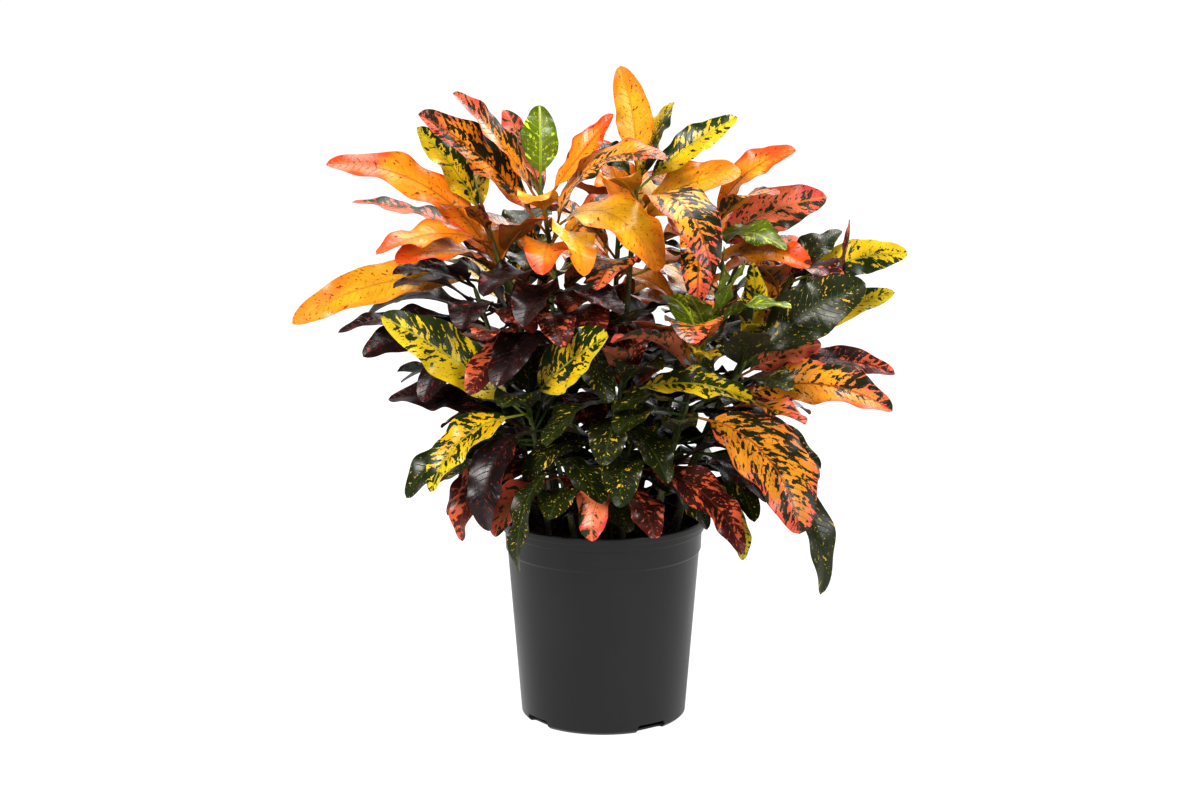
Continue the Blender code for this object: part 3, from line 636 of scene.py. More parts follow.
def midrib(leaf, root, along):
    """Centre, direction and face normal of a leaf at a share of its length from the root."""
    stalk = STALK_SHARE * leaf.length
    start = math.radians(leaf.rise)
    bend = math.radians(leaf.droop)
    if along <= STALK_SHARE:
        angle = start
        reach = along * leaf.length * math.cos(start)
        climb = along * leaf.length * math.sin(start)
        part = 0.0
    else:
        part = (along - STALK_SHARE) / (1.0 - STALK_SHARE)
        angle = start - bend * part
        radius = (leaf.length - stalk) / bend
        reach = stalk * math.cos(start) + radius * (math.sin(start) - math.sin(angle))
        climb = stalk * math.sin(start) + radius * (math.cos(angle) - math.cos(start))
    heading = math.radians(leaf.heading)
    outward = Vector((math.cos(heading), math.sin(heading), 0.0))
    direction = outward * math.cos(angle) + UP * math.sin(angle)
    level = UP * math.cos(angle) - outward * math.sin(angle)
    side = direction.cross(level)
    to_front = math.copysign(1.0, outward.x)
    roll = math.radians(to_front * leaf.face + leaf.twist * (part - 0.5))
    normal = level * math.cos(roll) + side * math.sin(roll)
    centre = root + outward * reach + UP * climb + direction.cross(normal) * leaf.bow * part ** 2
    return centre, direction, normal


def blade_spans(leaf):
    """How many spans a blade is built of: fewer on a short one."""
    return max(FEWEST_SPANS, min(MOST_SPANS, round(leaf.length / SPAN_LENGTH)))


def half_width(leaf, part):
    """Half the blade's width at a share of its length."""
    bluntness = BASE_BLUNTNESS + (TIP_BLUNTNESS - BASE_BLUNTNESS) * part
    swell = max(0.0, math.sin(math.pi * part ** BLADE_SKEW)) ** bluntness
    return max(TIP_HALF_WIDTH, leaf.width / 2 * swell)


def leaf_rows(leaf, root, grow=0.0):
    """Rows of left, middle and right points, each with its normal and half its thickness."""
    stalk = STALK_RADIUS + grow
    rows = []
    for along in (0.0, STALK_JOINT * STALK_SHARE):
        centre, direction, normal = midrib(leaf, root, along)
        side = direction.cross(normal)
        points = [centre - side * stalk, centre, centre + side * stalk]
        rows.append((points, normal, STALK_FLATNESS * stalk))
    spans = blade_spans(leaf)
    for span in range(1, spans + 1):
        part = span / spans
        along = STALK_SHARE + (1.0 - STALK_SHARE) * part
        centre, direction, normal = midrib(leaf, root, along)
        side = direction.cross(normal)
        half = half_width(leaf, part) + grow
        swell = math.sin(math.pi * part)
        points = []
        for hand in (-1, 0, 1):
            wave = leaf.wave * math.cos(math.pi * spans * part + hand * MARGIN_PHASE) * swell
            lift = abs(hand) * (half * math.sin(math.radians(leaf.fold)) + wave)
            reach = hand * half * math.cos(math.radians(leaf.fold))
            points.append(centre + side * reach + normal * lift)
        rows.append((points, normal, BLADE_THICKNESS / 2 + grow))
    return rows


def leaf_shape(leaf, root, grow=0.0, first_row=0):
    """Vertices and triangles of a closed leaf, split alike on its two faces."""
    points = []
    for row, normal, half_thickness in leaf_rows(leaf, root, grow)[first_row:]:
        points += [point + normal * half_thickness for point in row]
        points += [point - normal * half_thickness for point in reversed(row)]
    rows = len(points) // RING
    faces = []
    for row in range(rows - 1):
        for corner in range(RING):
            a = row * RING + corner
            b = row * RING + (corner + 1) % RING
            if corner in ALIKE_CORNERS:
                faces += [(a, b, b + RING), (a, b + RING, a + RING)]
            else:
                faces += [(a, b, a + RING), (b, b + RING, a + RING)]
    end = (rows - 1) * RING
    faces += [(5, 4, 1), (5, 1, 0), (4, 3, 2), (4, 2, 1)]
    faces += [(end + 5, end + 1, end + 4), (end + 5, end, end + 1)]
    faces += [(end + 4, end + 2, end + 3), (end + 4, end + 1, end + 2)]
    return points, faces


def leaf_tree(leaf, root, grow, first_row=0):
    """A search tree over the triangles of a leaf, or of its blade alone from a later row on."""
    return BVHTree.FromPolygons(*leaf_shape(leaf, root, grow, first_row))


def dress(numbers, rng):
    """A leaf from its set numbers, with the small differences that every leaf has."""
    *numbers, look = numbers
    return Leaf(*numbers, look, wave=rng.uniform(*WAVES), fold=rng.uniform(*FOLDS),
                twist=rng.uniform(-TWIST, TWIST), bow=rng.uniform(-BOW, BOW))


def filler_leaves(shoot, rng):
    """Leaves that fill a shoot by the spiral rule: steep near its tip, wide and low further down."""
    leaves = []
    turn = rng.uniform(0.0, 360.0)
    climb = shoot.tip[2] - STEM_START
    for index in range(shoot.filler):
        share = (index + 0.5) / shoot.filler
        drop = climb * (FILLER_TOP + (FILLER_FOOT - FILLER_TOP) * share)
        heading = (turn + math.degrees(GOLDEN_ANGLE) * index) % 360.0
        rise = FILLER_RISE_TOP + (FILLER_RISE_FOOT - FILLER_RISE_TOP) * share
        looks = shoot.looks if share < INNER_SHARE else INNER_LOOKS
        numbers = (drop, heading, rise, rng.uniform(*FILLER_LENGTHS), rng.uniform(*FILLER_WIDTHS),
                   rng.uniform(*FILLER_DROOPS), 0, rng.choice(looks))
        leaves.append(dress(numbers, rng))
    return leaves


def pot_guard():
    """A search tree over the pot's wall and soil that leaves keep clear of."""
    profile = [
        (0.0, SOIL_TOP + SOIL_MOUND),
        (COLLAR_RADIUS, SOIL_TOP),
        (RIM_RADIUS - WALL - POT_CLEARANCE, LIP_FOOT),
        (RIM_RADIUS - WALL - POT_CLEARANCE, POT_HEIGHT + POT_CLEARANCE),
        (RIM_RADIUS + POT_CLEARANCE, POT_HEIGHT + POT_CLEARANCE),
        (RIM_RADIUS + POT_CLEARANCE, LIP_FOOT - POT_CLEARANCE),
        (COLLAR_RADIUS + POT_CLEARANCE, COLLAR_FOOT),
        (BASE_RADIUS + POT_CLEARANCE, 0.0),
    ]
    points = []
    for radius, height in profile:
        for side in range(POT_SIDES):
            angle = 2 * math.pi * side / POT_SIDES
            outward = Vector((math.cos(angle), math.sin(angle), 0.0))
            points.append(outward * radius + UP * height)
    return BVHTree.FromPolygons(points, ring_faces(len(profile), POT_SIDES))


def nudges():
    """Changes of heading and rise, growing on a spiral from none at all."""
    for step in range(NUDGE_LIMIT):
        reach = NUDGE * math.sqrt(step)
        yield reach * math.cos(step * GOLDEN_ANGLE), reach * math.sin(step * GOLDEN_ANGLE)


def is_clear(leaf, root, name, placed, guards):
    """Whether a leaf stays off the pot, other stems and other leaves, apart from its own stalk's."""
    middle = midrib(leaf, root, 0.5)[0]
    near = [entry for entry in placed
            if (entry[1] - middle).length < entry[2] + LEAF_REACH * leaf.length]
    whole = leaf_tree(leaf, root, CLEARANCE)
    if any(owner != name and whole.overlap(guard) for owner, guard in guards):
        return False
    if any(owner != name and whole.overlap(tree) for owner, _, _, tree, _ in near):
        return False
    blade = leaf_tree(leaf, root, CLEARANCE, BLADE_ROW)
    return not any(owner == name and blade.overlap(tree) for owner, _, _, _, tree in near)


def inner_leaves(shoot, rng):
    """Small leaves between a shoot's others, by the same spiral rule, each with whether it is shaded."""
    leaves = []
    turn = rng.uniform(0.0, 360.0)
    climb = shoot.tip[2] - STEM_START
    for index in range(INNER_LEAVES):
        share = (index + 0.5) / INNER_LEAVES
        shaded = share > INNER_BRIGHT
        drop = climb * (INNER_TOP + (INNER_FOOT - INNER_TOP) * share)
        heading = (turn + math.degrees(GOLDEN_ANGLE) * index) % 360.0
        rise = INNER_RISE_TOP + (INNER_RISE_FOOT - INNER_RISE_TOP) * share
        numbers = (drop, heading, rise, rng.uniform(*INNER_LENGTHS), rng.uniform(*INNER_WIDTHS),
                   rng.uniform(*INNER_DROOPS), 0, rng.choice(INNER_LOOKS if shaded else shoot.looks))
        leaves.append((dress(numbers, rng), shaded))
    return leaves


def hangs_out(leaf, root):
    """Whether a leaf would end low in front of the bush, where only the outer leaves hang."""
    tip = midrib(leaf, root, 1.0)[0]
    return tip.y < 0.0 and tip.z < INNER_FLOOR and math.hypot(tip.x, tip.y) > INNER_REACH


def settle():
    """Give each shoot its leaves, each turned and lifted until it is clear of all the others.

    Those of the solids come first and in the same order, so they stand where the solids' do.
    Each shoot's list holds (leaf, root, whether it is an inner leaf, whether it is shaded).
    """
    guards = [("pot", pot_guard())] + [(shoot.name, stem_tree(shoot)) for shoot in SHOOTS]
    draws = {shoot.name: random.Random(shoot.name) for shoot in SHOOTS}
    wanted = [(shoot, dress(numbers, draws[shoot.name]), False, False)
              for shoot in SHOOTS for numbers in shoot.leaves]
    wanted += [(shoot, leaf, False, False)
               for shoot in SHOOTS for leaf in filler_leaves(shoot, draws[shoot.name])]
    wanted += [(shoot, leaf, True, shaded)
               for shoot in SHOOTS for leaf, shaded in inner_leaves(shoot, draws[shoot.name])]
    placed = []
    settled = {shoot.name: [] for shoot in SHOOTS}
    for shoot, leaf, inner, shaded in wanted:
        root = stem_point(shoot, shoot.tip[2] - leaf.drop - STALK_RADIUS * 2)
        for turn, lift in nudges():
            tried = leaf._replace(heading=leaf.heading + turn, rise=leaf.rise + lift)
            if inner and hangs_out(tried, root):
                continue
            if is_clear(tried, root, shoot.name, placed, guards):
                placed.append((shoot.name, midrib(tried, root, 0.5)[0], LEAF_REACH * leaf.length,
                               leaf_tree(tried, root, 0.0), leaf_tree(tried, root, 0.0, BLADE_ROW)))
                settled[shoot.name].append((tried, root, inner, shaded))
                break
    return settled


# ---------------------------------------------------------------- surfaces


class Graph:
    """A material's node tree, with short calls for the few kinds of node used here."""

    def __init__(self, name):
        self.material = bpy.data.materials.new(name)
        self.material.use_nodes = True
        self.nodes = self.material.node_tree.nodes
        self.links = self.material.node_tree.links
        self.shader = self.nodes["Principled BSDF"]

    def put(self, value, socket):
        """Join an output to a socket, or set the socket to a constant."""
        if isinstance(value, bpy.types.NodeSocket):
            self.links.new(value, socket)
        else:
            socket.default_value = value

    def set(self, name, value):
        """Join an output to one of the shader's inputs, or set it to a constant."""
        self.put(value, self.shader.inputs[name])

    def add(self, kind, *inputs, **settings):
        """A node with its settings, and its inputs in order."""
        node = self.nodes.new(kind)
        for name, value in settings.items():
            setattr(node, name, value)
        for index, value in enumerate(inputs):
            self.put(value, node.inputs[index])
        return node

    def value(self, name):
        """A value kept at the mesh's points, as a vector."""
        return self.add("ShaderNodeAttribute", attribute_name=name).outputs["Vector"]

    def place(self):
        """The point in the object's own metres."""
        return self.add("ShaderNodeTexCoord").outputs["Object"]

    def split(self, vector):
        """The three numbers of a vector."""
        return self.add("ShaderNodeSeparateXYZ", vector).outputs

    def math(self, operation, first, second=0.0):
        """A sum on two numbers."""
        return self.add("ShaderNodeMath", first, second, operation=operation).outputs[0]

    def scaled(self, vector, scale):
        """A vector stretched along its three axes."""
        return self.add("ShaderNodeVectorMath", vector, scale, operation="MULTIPLY").outputs[0]

    def noise(self, place, scale=1.0, detail=2.0, roughness=0.5, distortion=0.0):
        """Smooth noise between about 0.2 and 0.8."""
        node = self.add("ShaderNodeTexNoise", place)
        node.inputs["Scale"].default_value = scale
        node.inputs["Detail"].default_value = detail
        node.inputs["Roughness"].default_value = roughness
        node.inputs["Distortion"].default_value = distortion
        return node.outputs["Fac"]

    def ramp(self, value, low, high, start=0.0, end=1.0):
        """A smooth step of a value from start to end, while it goes from low to high."""
        node = self.add("ShaderNodeMapRange", value, low, high, start, end, interpolation_type="SMOOTHSTEP")
        return node.outputs[0]

    def spread(self, noise_value, low, high):
        """A noise stretched over the values from low to high."""
        return self.add("ShaderNodeMapRange", noise_value, NOISE_LOW, NOISE_HIGH, low, high).outputs[0]

    def mix(self, factor, first, second):
        """Two colours mixed."""
        node = self.add("ShaderNodeMix", data_type="RGBA")
        self.put(factor, node.inputs["Factor"])
        self.put(first, node.inputs[6])
        self.put(second, node.inputs[7])
        return node.outputs[2]

    def bump(self, height, distance, strength=1.0):
        """Relief on the surface, with its height in metres for a value of one."""
        node = self.add("ShaderNodeBump")
        node.inputs["Strength"].default_value = strength
        node.inputs["Distance"].default_value = distance
        self.put(height, node.inputs["Height"])
        self.put(node.outputs["Normal"], self.shader.inputs["Normal"])


def vein_lines(g, from_vein, out, edge):
    """The lateral veins, which fade towards the margin, and the midrib."""
    vein_line = g.ramp(from_vein, HALF - VEIN_LINE, HALF)
    vein_line = g.math("MULTIPLY", vein_line, g.ramp(edge, 1.0, VEIN_FULL))
    midrib_line = g.ramp(g.math("ABSOLUTE", out), MIDRIB_LINE, MIDRIB_LINE * HALF)
    return vein_line, midrib_line


def blotch_cover(g, vein_place, from_vein, across, patches):
    """Blotches, which are longer along the lateral veins than across them and tend to end at one."""
    coverage, lean, _ = g.split(g.value("pattern"))
    ragged = g.noise(g.scaled(vein_place, BLOTCH_SCALE), *BLOTCH_NOISE)
    pull = g.math("MULTIPLY", g.math("SUBTRACT", from_vein, HALF * HALF), BLOTCH_VEIN)
    ragged = g.math("ADD", ragged, pull)
    wanted = g.math("ADD", coverage, g.math("MULTIPLY", across, lean))
    wanted = g.math("ADD", wanted, g.math("MULTIPLY", patches, PATCH_SWING))
    threshold = g.add("ShaderNodeMapRange", wanted, 0.0, 1.0, BLOTCH_NONE, BLOTCH_FULL).outputs[0]
    return g.ramp(g.math("SUBTRACT", ragged, threshold), -BLOTCH_SOFTNESS, BLOTCH_SOFTNESS)


def blush_cover(g, part, edge, patches):
    """How far the ground turns to its margin's colour: by the margin, by the tip and in patches."""
    blush = g.math("MULTIPLY", g.math("POWER", edge, BLUSH_CURVE), BLUSH_EDGE)
    blush = g.math("ADD", blush, g.ramp(part, BLUSH_START, 1.0, 0.0, BLUSH_TIP))
    blush = g.math("ADD", blush, g.math("MULTIPLY", patches, BLUSH_PATCH))
    return g.ramp(blush, *BLUSH_RANGE)


def blade_surface(name, shine):
    """The leaves: ground colour, blotches and specks along the veins, margins and duller undersides."""
    g = Graph(name)
    vein_place = g.value("vein_place")
    crossing, out, _ = g.split(vein_place)
    part, across, under = g.split(g.value("blade_place"))
    edge = g.math("ABSOLUTE", across)

    # Lateral veins lie where the crossing value is whole.
    from_vein = g.math("ABSOLUTE", g.math("SUBTRACT", g.math("FRACT", crossing), HALF))
    vein_line, midrib_line = vein_lines(g, from_vein, out, edge)
    patches = g.math("SUBTRACT", g.noise(g.scaled(vein_place, PATCH_SCALE)), HALF)
    specks = g.noise(g.scaled(vein_place, SPECK_SCALE), detail=1.0)
    specks = g.ramp(specks, SPECK_START, SPECK_START + SPECK_SOFTNESS)

    colour = g.mix(blush_cover(g, part, edge, patches), g.value("ground"), g.value("margin"))
    colour = g.mix(g.math("MULTIPLY", vein_line, VEIN_STRENGTH), colour, g.value("vein"))
    colour = g.mix(blotch_cover(g, vein_place, from_vein, across, patches), colour, g.value("blotch"))
    colour = g.mix(g.math("MULTIPLY", specks, SPECK_STRENGTH), colour, g.value("blotch"))
    colour = g.mix(g.math("MULTIPLY", midrib_line, MIDRIB_STRENGTH), colour, g.value("vein"))
    shade = g.spread(g.noise(g.scaled(vein_place, SHADE_SCALE)), *SHADE_RANGE)
    colour = g.scaled(colour, shade)
    dull = g.mix(UNDER_PALENESS, colour, UNDER_COLOUR)
    g.set("Base Color", g.mix(under, colour, dull))

    rough = g.spread(g.noise(g.scaled(vein_place, GLOSS_SCALE), detail=3.0), *BLADE_ROUGHNESS)
    g.set("Roughness", g.math("ADD", rough, g.math("MULTIPLY", under, UNDER_ROUGHNESS)))
    g.set("Specular IOR Level", shine)
    grain = g.noise(g.scaled(vein_place, GRAIN_SCALE), detail=2.0)
    relief = g.math("SUBTRACT", g.math("MULTIPLY", grain, GRAIN_SHARE), vein_line)
    g.bump(relief, BLADE_BUMP * MM)
    return g.material


def stalk_surface():
    """The stalks and ribs: their leaf's stalk colour, with faint streaks."""
    g = Graph("croton_stalk")
    place = g.place()
    streaks = g.noise(g.scaled(place, STALK_STREAKS), detail=2.0)
    shade = g.spread(streaks, *STALK_SHADES)
    g.set("Base Color", g.scaled(g.value("ground"), shade))
    g.set("Roughness", STALK_ROUGHNESS)
    g.set("Specular IOR Level", STALK_SHINE)
    g.bump(streaks, STALK_BUMP * MM)
    return g.material


def wood_surface():
    """The stems: grey-brown bark that turns green upward, with cracks and pale pores."""
    g = Graph("croton_wood")
    place = g.place()
    cracks = g.noise(g.scaled(place, WOOD_CRACKS), detail=4.0, roughness=0.65)
    pores = g.ramp(g.noise(g.scaled(place, WOOD_PORES), detail=0.0), *PORE_RANGE)
    bark = g.scaled(g.value("ground"), g.spread(cracks, *WOOD_SHADES))
    g.set("Base Color", g.mix(g.math("MULTIPLY", pores, PORE_STRENGTH), bark, PORE_COLOUR))
    g.set("Roughness", WOOD_ROUGHNESS)
    g.set("Specular IOR Level", STALK_SHINE)
    g.bump(g.math("ADD", cracks, pores), WOOD_BUMP * MM)
    return g.material


def pot_surface():
    """The pot: satin black plastic with a fine mould grain, light scuffs and a little dust."""
    g = Graph("nursery_plastic")
    place = g.place()
    dust = g.noise(g.scaled(place, DUST_SCALE), detail=5.0, roughness=0.6)
    scuffs = g.noise(g.scaled(place, SCUFF_SCALE), detail=3.0, roughness=0.7)
    scuffs = g.math("MULTIPLY", g.ramp(scuffs, *SCUFF_RANGE), g.ramp(dust, *SCUFF_DUST))
    grain = g.noise(place, scale=POT_GRAIN, detail=2.0)
    black = g.mix(g.ramp(dust, *DUST_RANGE), POT_BLACK, POT_DUSTY)
    g.set("Base Color", g.mix(g.math("MULTIPLY", scuffs, SCUFF_STRENGTH), black, POT_SCUFF))
    rough = g.spread(dust, *POT_ROUGHNESS)
    g.set("Roughness", g.math("ADD", rough, g.math("MULTIPLY", scuffs, SCUFF_ROUGHNESS)))
    g.set("Specular IOR Level", POT_SHINE)
    g.bump(g.math("ADD", g.math("MULTIPLY", grain, HALF), dust), POT_BUMP * MM)
    return g.material


def soil_surface():
    """The soil: dark peat, coarse and matt."""
    g = Graph("peat")
    place = g.place()
    crumbs = g.noise(place, scale=PEAT_SCALE, detail=6.0, roughness=0.7)
    g.set("Base Color", g.mix(g.ramp(crumbs, *PEAT_RANGE), SOIL_DARK, SOIL_LIGHT))
    g.set("Roughness", PEAT_ROUGHNESS)
    g.bump(crumbs, PEAT_BUMP * MM)
    return g.material


def chip_surface():
    """Bark chips: warm brown with streaks along the grain."""
    g = Graph("bark_chip")
    place = g.place()
    streaks = g.noise(g.scaled(place, CHIP_STREAKS), detail=4.0, roughness=0.65)
    g.set("Base Color", g.mix(g.ramp(streaks, *CHIP_RANGE), CHIP_DARK, CHIP_LIGHT))
    g.set("Roughness", CHIP_ROUGHNESS)
    g.bump(streaks, CHIP_BUMP * MM)
    return g.material


def perlite_surface():
    """Perlite: off-white and matt, with soil in its pits."""
    g = Graph("perlite")
    place = g.place()
    pits = g.noise(place, scale=PERLITE_PITS, detail=3.0)
    g.set("Base Color", g.mix(g.ramp(pits, *PERLITE_RANGE), PERLITE_DARK, PERLITE_LIGHT))
    g.set("Roughness", PERLITE_ROUGHNESS)
    g.bump(pits, PERLITE_BUMP * MM)
    return g.material


# ---------------------------------------------------------------- fine leaves


def blade_frames(leaf, root, rows):
    """Centres, sides, normals and half widths of a fine blade, row by row, as arrays."""
    centres, sides, normals, halves = [], [], [], []
    for row in range(rows + 1):
        part = row / rows
        centre, direction, normal = midrib(leaf, root, STALK_SHARE + (1.0 - STALK_SHARE) * part)
        centres.append(centre)
        sides.append(direction.cross(normal))
        normals.append(normal)
        halves.append(max(FINE_TIP, half_width(leaf, part) - TIP_HALF_WIDTH * part ** TIP_SHARPNESS))
    return np.array(centres), np.array(sides), np.array(normals), np.array(halves)


def margin_waves(leaf, part, across, hand, phases):
    """How far the blade swings with the same waves as the solid's, with smaller ripples on them."""
    wave = leaf.wave * np.cos(np.pi * blade_spans(leaf) * part + hand * MARGIN_PHASE) * across ** WAVE_CURVE
    ripple = np.where(hand < 0, np.sin(RIPPLES * part + phases[0]), np.sin(RIPPLES * part + phases[1]))
    return wave + RIPPLE_HEIGHT * ripple * np.abs(across) ** RIPPLE_CURVE


def fine_blade(leaf, root, seed, rows, columns):
    """A fine blade's upper and under surfaces as grids, and the places its pattern is drawn by."""
    rng = np.random.default_rng(seed)
    centres, sides, normals, halves = blade_frames(leaf, root, rows)
    part = np.linspace(0.0, 1.0, rows + 1)[:, None]
    across = np.sin(np.linspace(-0.5, 0.5, columns + 1) * np.pi)[None, :]
    hand = np.sign(across)
    swell = np.sin(np.pi * part)

    phases = rng.uniform(0.0, 2.0 * np.pi, 4)
    wave = margin_waves(leaf, part, across, hand, phases)
    lobe = np.where(hand < 0, np.sin(LOBES * part + phases[2]), np.sin(LOBES * part + phases[3]))
    half = halves[:, None] * (1.0 + LOBE_DEPTH * lobe * swell)

    # Lateral veins run out and forward from the midrib, and the blade swells between them.
    out = np.abs(across) * half
    blade_length = leaf.length * (1.0 - STALK_SHARE)
    veins = (part * blade_length - out * VEIN_SWEEP - out ** 2 * VEIN_CURL) / VEIN_PITCH + VEIN_START
    quilt = QUILT_HEIGHT * (np.abs(np.sin(np.pi * veins)) ** QUILT_ROUND - QUILT_LEVEL)
    quilt = quilt * np.sin(np.pi * np.abs(across)) ** QUILT_FADE
    trough = MIDRIB_DEPTH * np.exp(-(out / MIDRIB_WIDTH) ** 2)

    fold = math.radians(leaf.fold)
    rounded = np.sqrt(out ** 2 + FOLD_ROUND ** 2) - FOLD_ROUND
    lift = rounded * math.sin(fold) + wave * swell + quilt * swell ** QUILT_ENDS - trough
    surface = (centres[:, None, :] + sides[:, None, :] * (across * half * math.cos(fold))[:, :, None]
               + normals[:, None, :] * lift[:, :, None])
    thickness = FINE_THICKNESS * (1.0 - EDGE_THINNING * np.abs(across) ** EDGE_CURVE)
    thickness = np.broadcast_to(thickness, out.shape)
    under = surface - normals[:, None, :] * thickness[:, :, None]
    parts = np.broadcast_to(part, out.shape)
    acrosses = np.broadcast_to(across, out.shape)
    blade_place = np.stack([parts, acrosses, np.zeros_like(out)], 2)
    vein_place = np.stack([veins, out * hand / PATTERN_OUT, np.full_like(out, seed % SEED_CYCLE)], 2)
    return surface, under, blade_place, vein_place


def grid_faces(rows, columns, start, flip):
    """Quads of a grid of points, numbered from a start."""
    row, column = np.meshgrid(np.arange(rows - 1), np.arange(columns - 1), indexing="ij")
    corner = (row * columns + column).ravel() + start
    quads = np.stack([corner, corner + 1, corner + columns + 1, corner + columns], 1)
    return quads[:, ::-1] if flip else quads


def rim_faces(rows, columns, under):
    """Quads that close the edge between a grid of points and the same grid further on."""
    corner = np.concatenate([
        np.arange(columns - 1),
        np.arange(rows - 1) * columns + columns - 1,
        (rows - 1) * columns + np.arange(columns - 1, 0, -1),
        np.arange(rows - 1, 0, -1) * columns,
    ])
    following = np.roll(corner, -1)
    return np.stack([corner, under + corner, under + following, following], 1)


class Piece:
    """Points, quads and the values at each point of a mesh that is gathered bit by bit."""

    def __init__(self):
        self.points = []
        self.faces = []
        self.slots = []
        self.values = {name: [] for name in POINT_VALUES}
        self.count = 0

    def add(self, points, faces, slot, **values):
        """Add points, the faces between them, and their values; a value left out is zero."""
        total = len(points)
        self.points.append(points)
        self.faces.append(faces + self.count)
        self.slots.append(np.full(len(faces), slot))
        for name, kept in self.values.items():
            kept.append(np.broadcast_to(values.get(name, (0.0, 0.0, 0.0)), (total, 3)))
        self.count += total

    def make(self, name, surfaces):
        """The finished object, in metres, with its values as attributes."""
        mesh = bpy.data.meshes.new(name)
        mesh.from_pydata(np.concatenate(self.points) * MM, [], np.concatenate(self.faces).tolist())
        for surface in surfaces:
            mesh.materials.append(surface)
        mesh.polygons.foreach_set("material_index", np.concatenate(self.slots).astype(np.int32))
        for value, kept in self.values.items():
            attribute = mesh.attributes.new(value, "FLOAT_VECTOR", "POINT")
            attribute.data.foreach_set("vector", np.concatenate(kept).astype(np.float32).ravel())
        mesh.shade_smooth()
        return add_object(name, mesh)


def add_object(name, mesh):
    """An object for a mesh, linked to the scene."""
    made = bpy.data.objects.new(name, mesh)
    bpy.context.scene.collection.objects.link(made)
    return made


def add_tube(piece, centres, radii, sides, slot, ground):
    """A round tube through a run of centres, closed at both ends, with a colour for each ring."""
    centres = np.array(centres)
    along = np.gradient(centres, axis=0)
    along /= np.linalg.norm(along, axis=1)[:, None]
    first = np.cross(along, TUBE_REFERENCE)
    first /= np.linalg.norm(first, axis=1)[:, None]
    second = np.cross(along, first)
    angle = np.linspace(0.0, 2.0 * np.pi, sides, endpoint=False)[None, :, None]
    ring = first[:, None, :] * np.cos(angle) + second[:, None, :] * np.sin(angle)
    points = centres[:, None, :] + ring * np.array(radii)[:, None, None]
    rings = len(centres)
    faces = []
    for row in range(rings - 1):
        for side in range(sides):
            following = (side + 1) % sides
            faces.append([row * sides + side, row * sides + following,
                          (row + 1) * sides + following, (row + 1) * sides + side])
    last = (rings - 1) * sides
    for corner in range(1, sides - 2, 2):
        faces.append([0, corner + 2, corner + 1, corner])
        faces.append([last, last + corner, last + corner + 1, last + corner + 2])
    colours = np.repeat(np.broadcast_to(ground, (rings, 3)), sides, axis=0)
    piece.add(points.reshape(-1, 3), np.array(faces), slot, ground=colours)


def vary(colour, amount, rng):
    """A colour with its brightness and warmth changed a little."""
    gain = 1.0 + rng.uniform(-amount, amount)
    tilt = 1.0 + rng.uniform(-amount, amount) * WARMTH_SHARE
    return np.clip(np.array(colour) * gain * np.array([tilt, 1.0, 1.0 / tilt]), 0.0, 1.0)


def add_leaf(piece, leaf, root, seed, inner, shaded):
    """One fine leaf: its blade, its stalk and its rib."""
    rng = np.random.default_rng(seed)
    look = LOOKS[leaf.look]
    rows, columns = (INNER_ROWS, INNER_COLUMNS) if inner else (FINE_ROWS, FINE_COLUMNS)
    surface, under, blade_place, vein_place = fine_blade(leaf, root, seed, rows, columns)
    rows, columns = surface.shape[:2]
    below = blade_place.copy()
    below[:, :, 2] = 1.0
    coverage = look.coverage + rng.uniform(-COVERAGE_SPREAD, COVERAGE_SPREAD)
    lean = rng.choice([-1.0, 1.0]) * look.halves
    split = rows * columns
    # Painted shade: a shaded inner leaf's colours and its rib's are darkened, and it takes the dimmed blade
    # surface.
    shade = INNER_SHADE if shaded else 1.0
    piece.add(
        np.concatenate([surface.reshape(-1, 3), under.reshape(-1, 3)]),
        np.concatenate([grid_faces(rows, columns, 0, True), grid_faces(rows, columns, split, False),
                        rim_faces(rows, columns, split)]),
        SHADE_SLOT if shaded else BLADE_SLOT,
        blade_place=np.concatenate([blade_place.reshape(-1, 3), below.reshape(-1, 3)]),
        vein_place=np.tile(vein_place.reshape(-1, 3), (2, 1)),
        ground=vary(look.ground, COLOUR_SPREAD, rng) * shade,
        blotch=vary(look.blotch, COLOUR_SPREAD, rng) * shade,
        margin=vary(look.margin, COLOUR_SPREAD, rng) * shade,
        vein=vary(look.vein, COLOUR_SPREAD, rng) * shade,
        pattern=(coverage, lean, 0.0),
    )
    add_rib(piece, leaf, root, vary(look.stalk, COLOUR_SPREAD, rng) * shade)


def add_rib(piece, leaf, root, colour):
    """A leaf's stalk, which runs on under the blade as its rib."""
    centres, radii = [], []
    for ring in range(RIB_RINGS):
        along = RIB_END * ring / (RIB_RINGS - 1)
        centre, _, normal = midrib(leaf, root, along)
        taper = max(0.0, (along - STALK_SHARE) / (RIB_END - STALK_SHARE))
        radius = STALK_RADIUS * (1.0 - RIB_TAPER * taper ** RIB_TAPER_CURVE)
        sink = (MIDRIB_DEPTH + radius * RIB_SINK) * min(1.0, along / STALK_SHARE)
        centres.append(centre - normal * sink)
        radii.append(radius)
    add_tube(piece, centres, radii, RIB_SIDES, STALK_SLOT, colour)


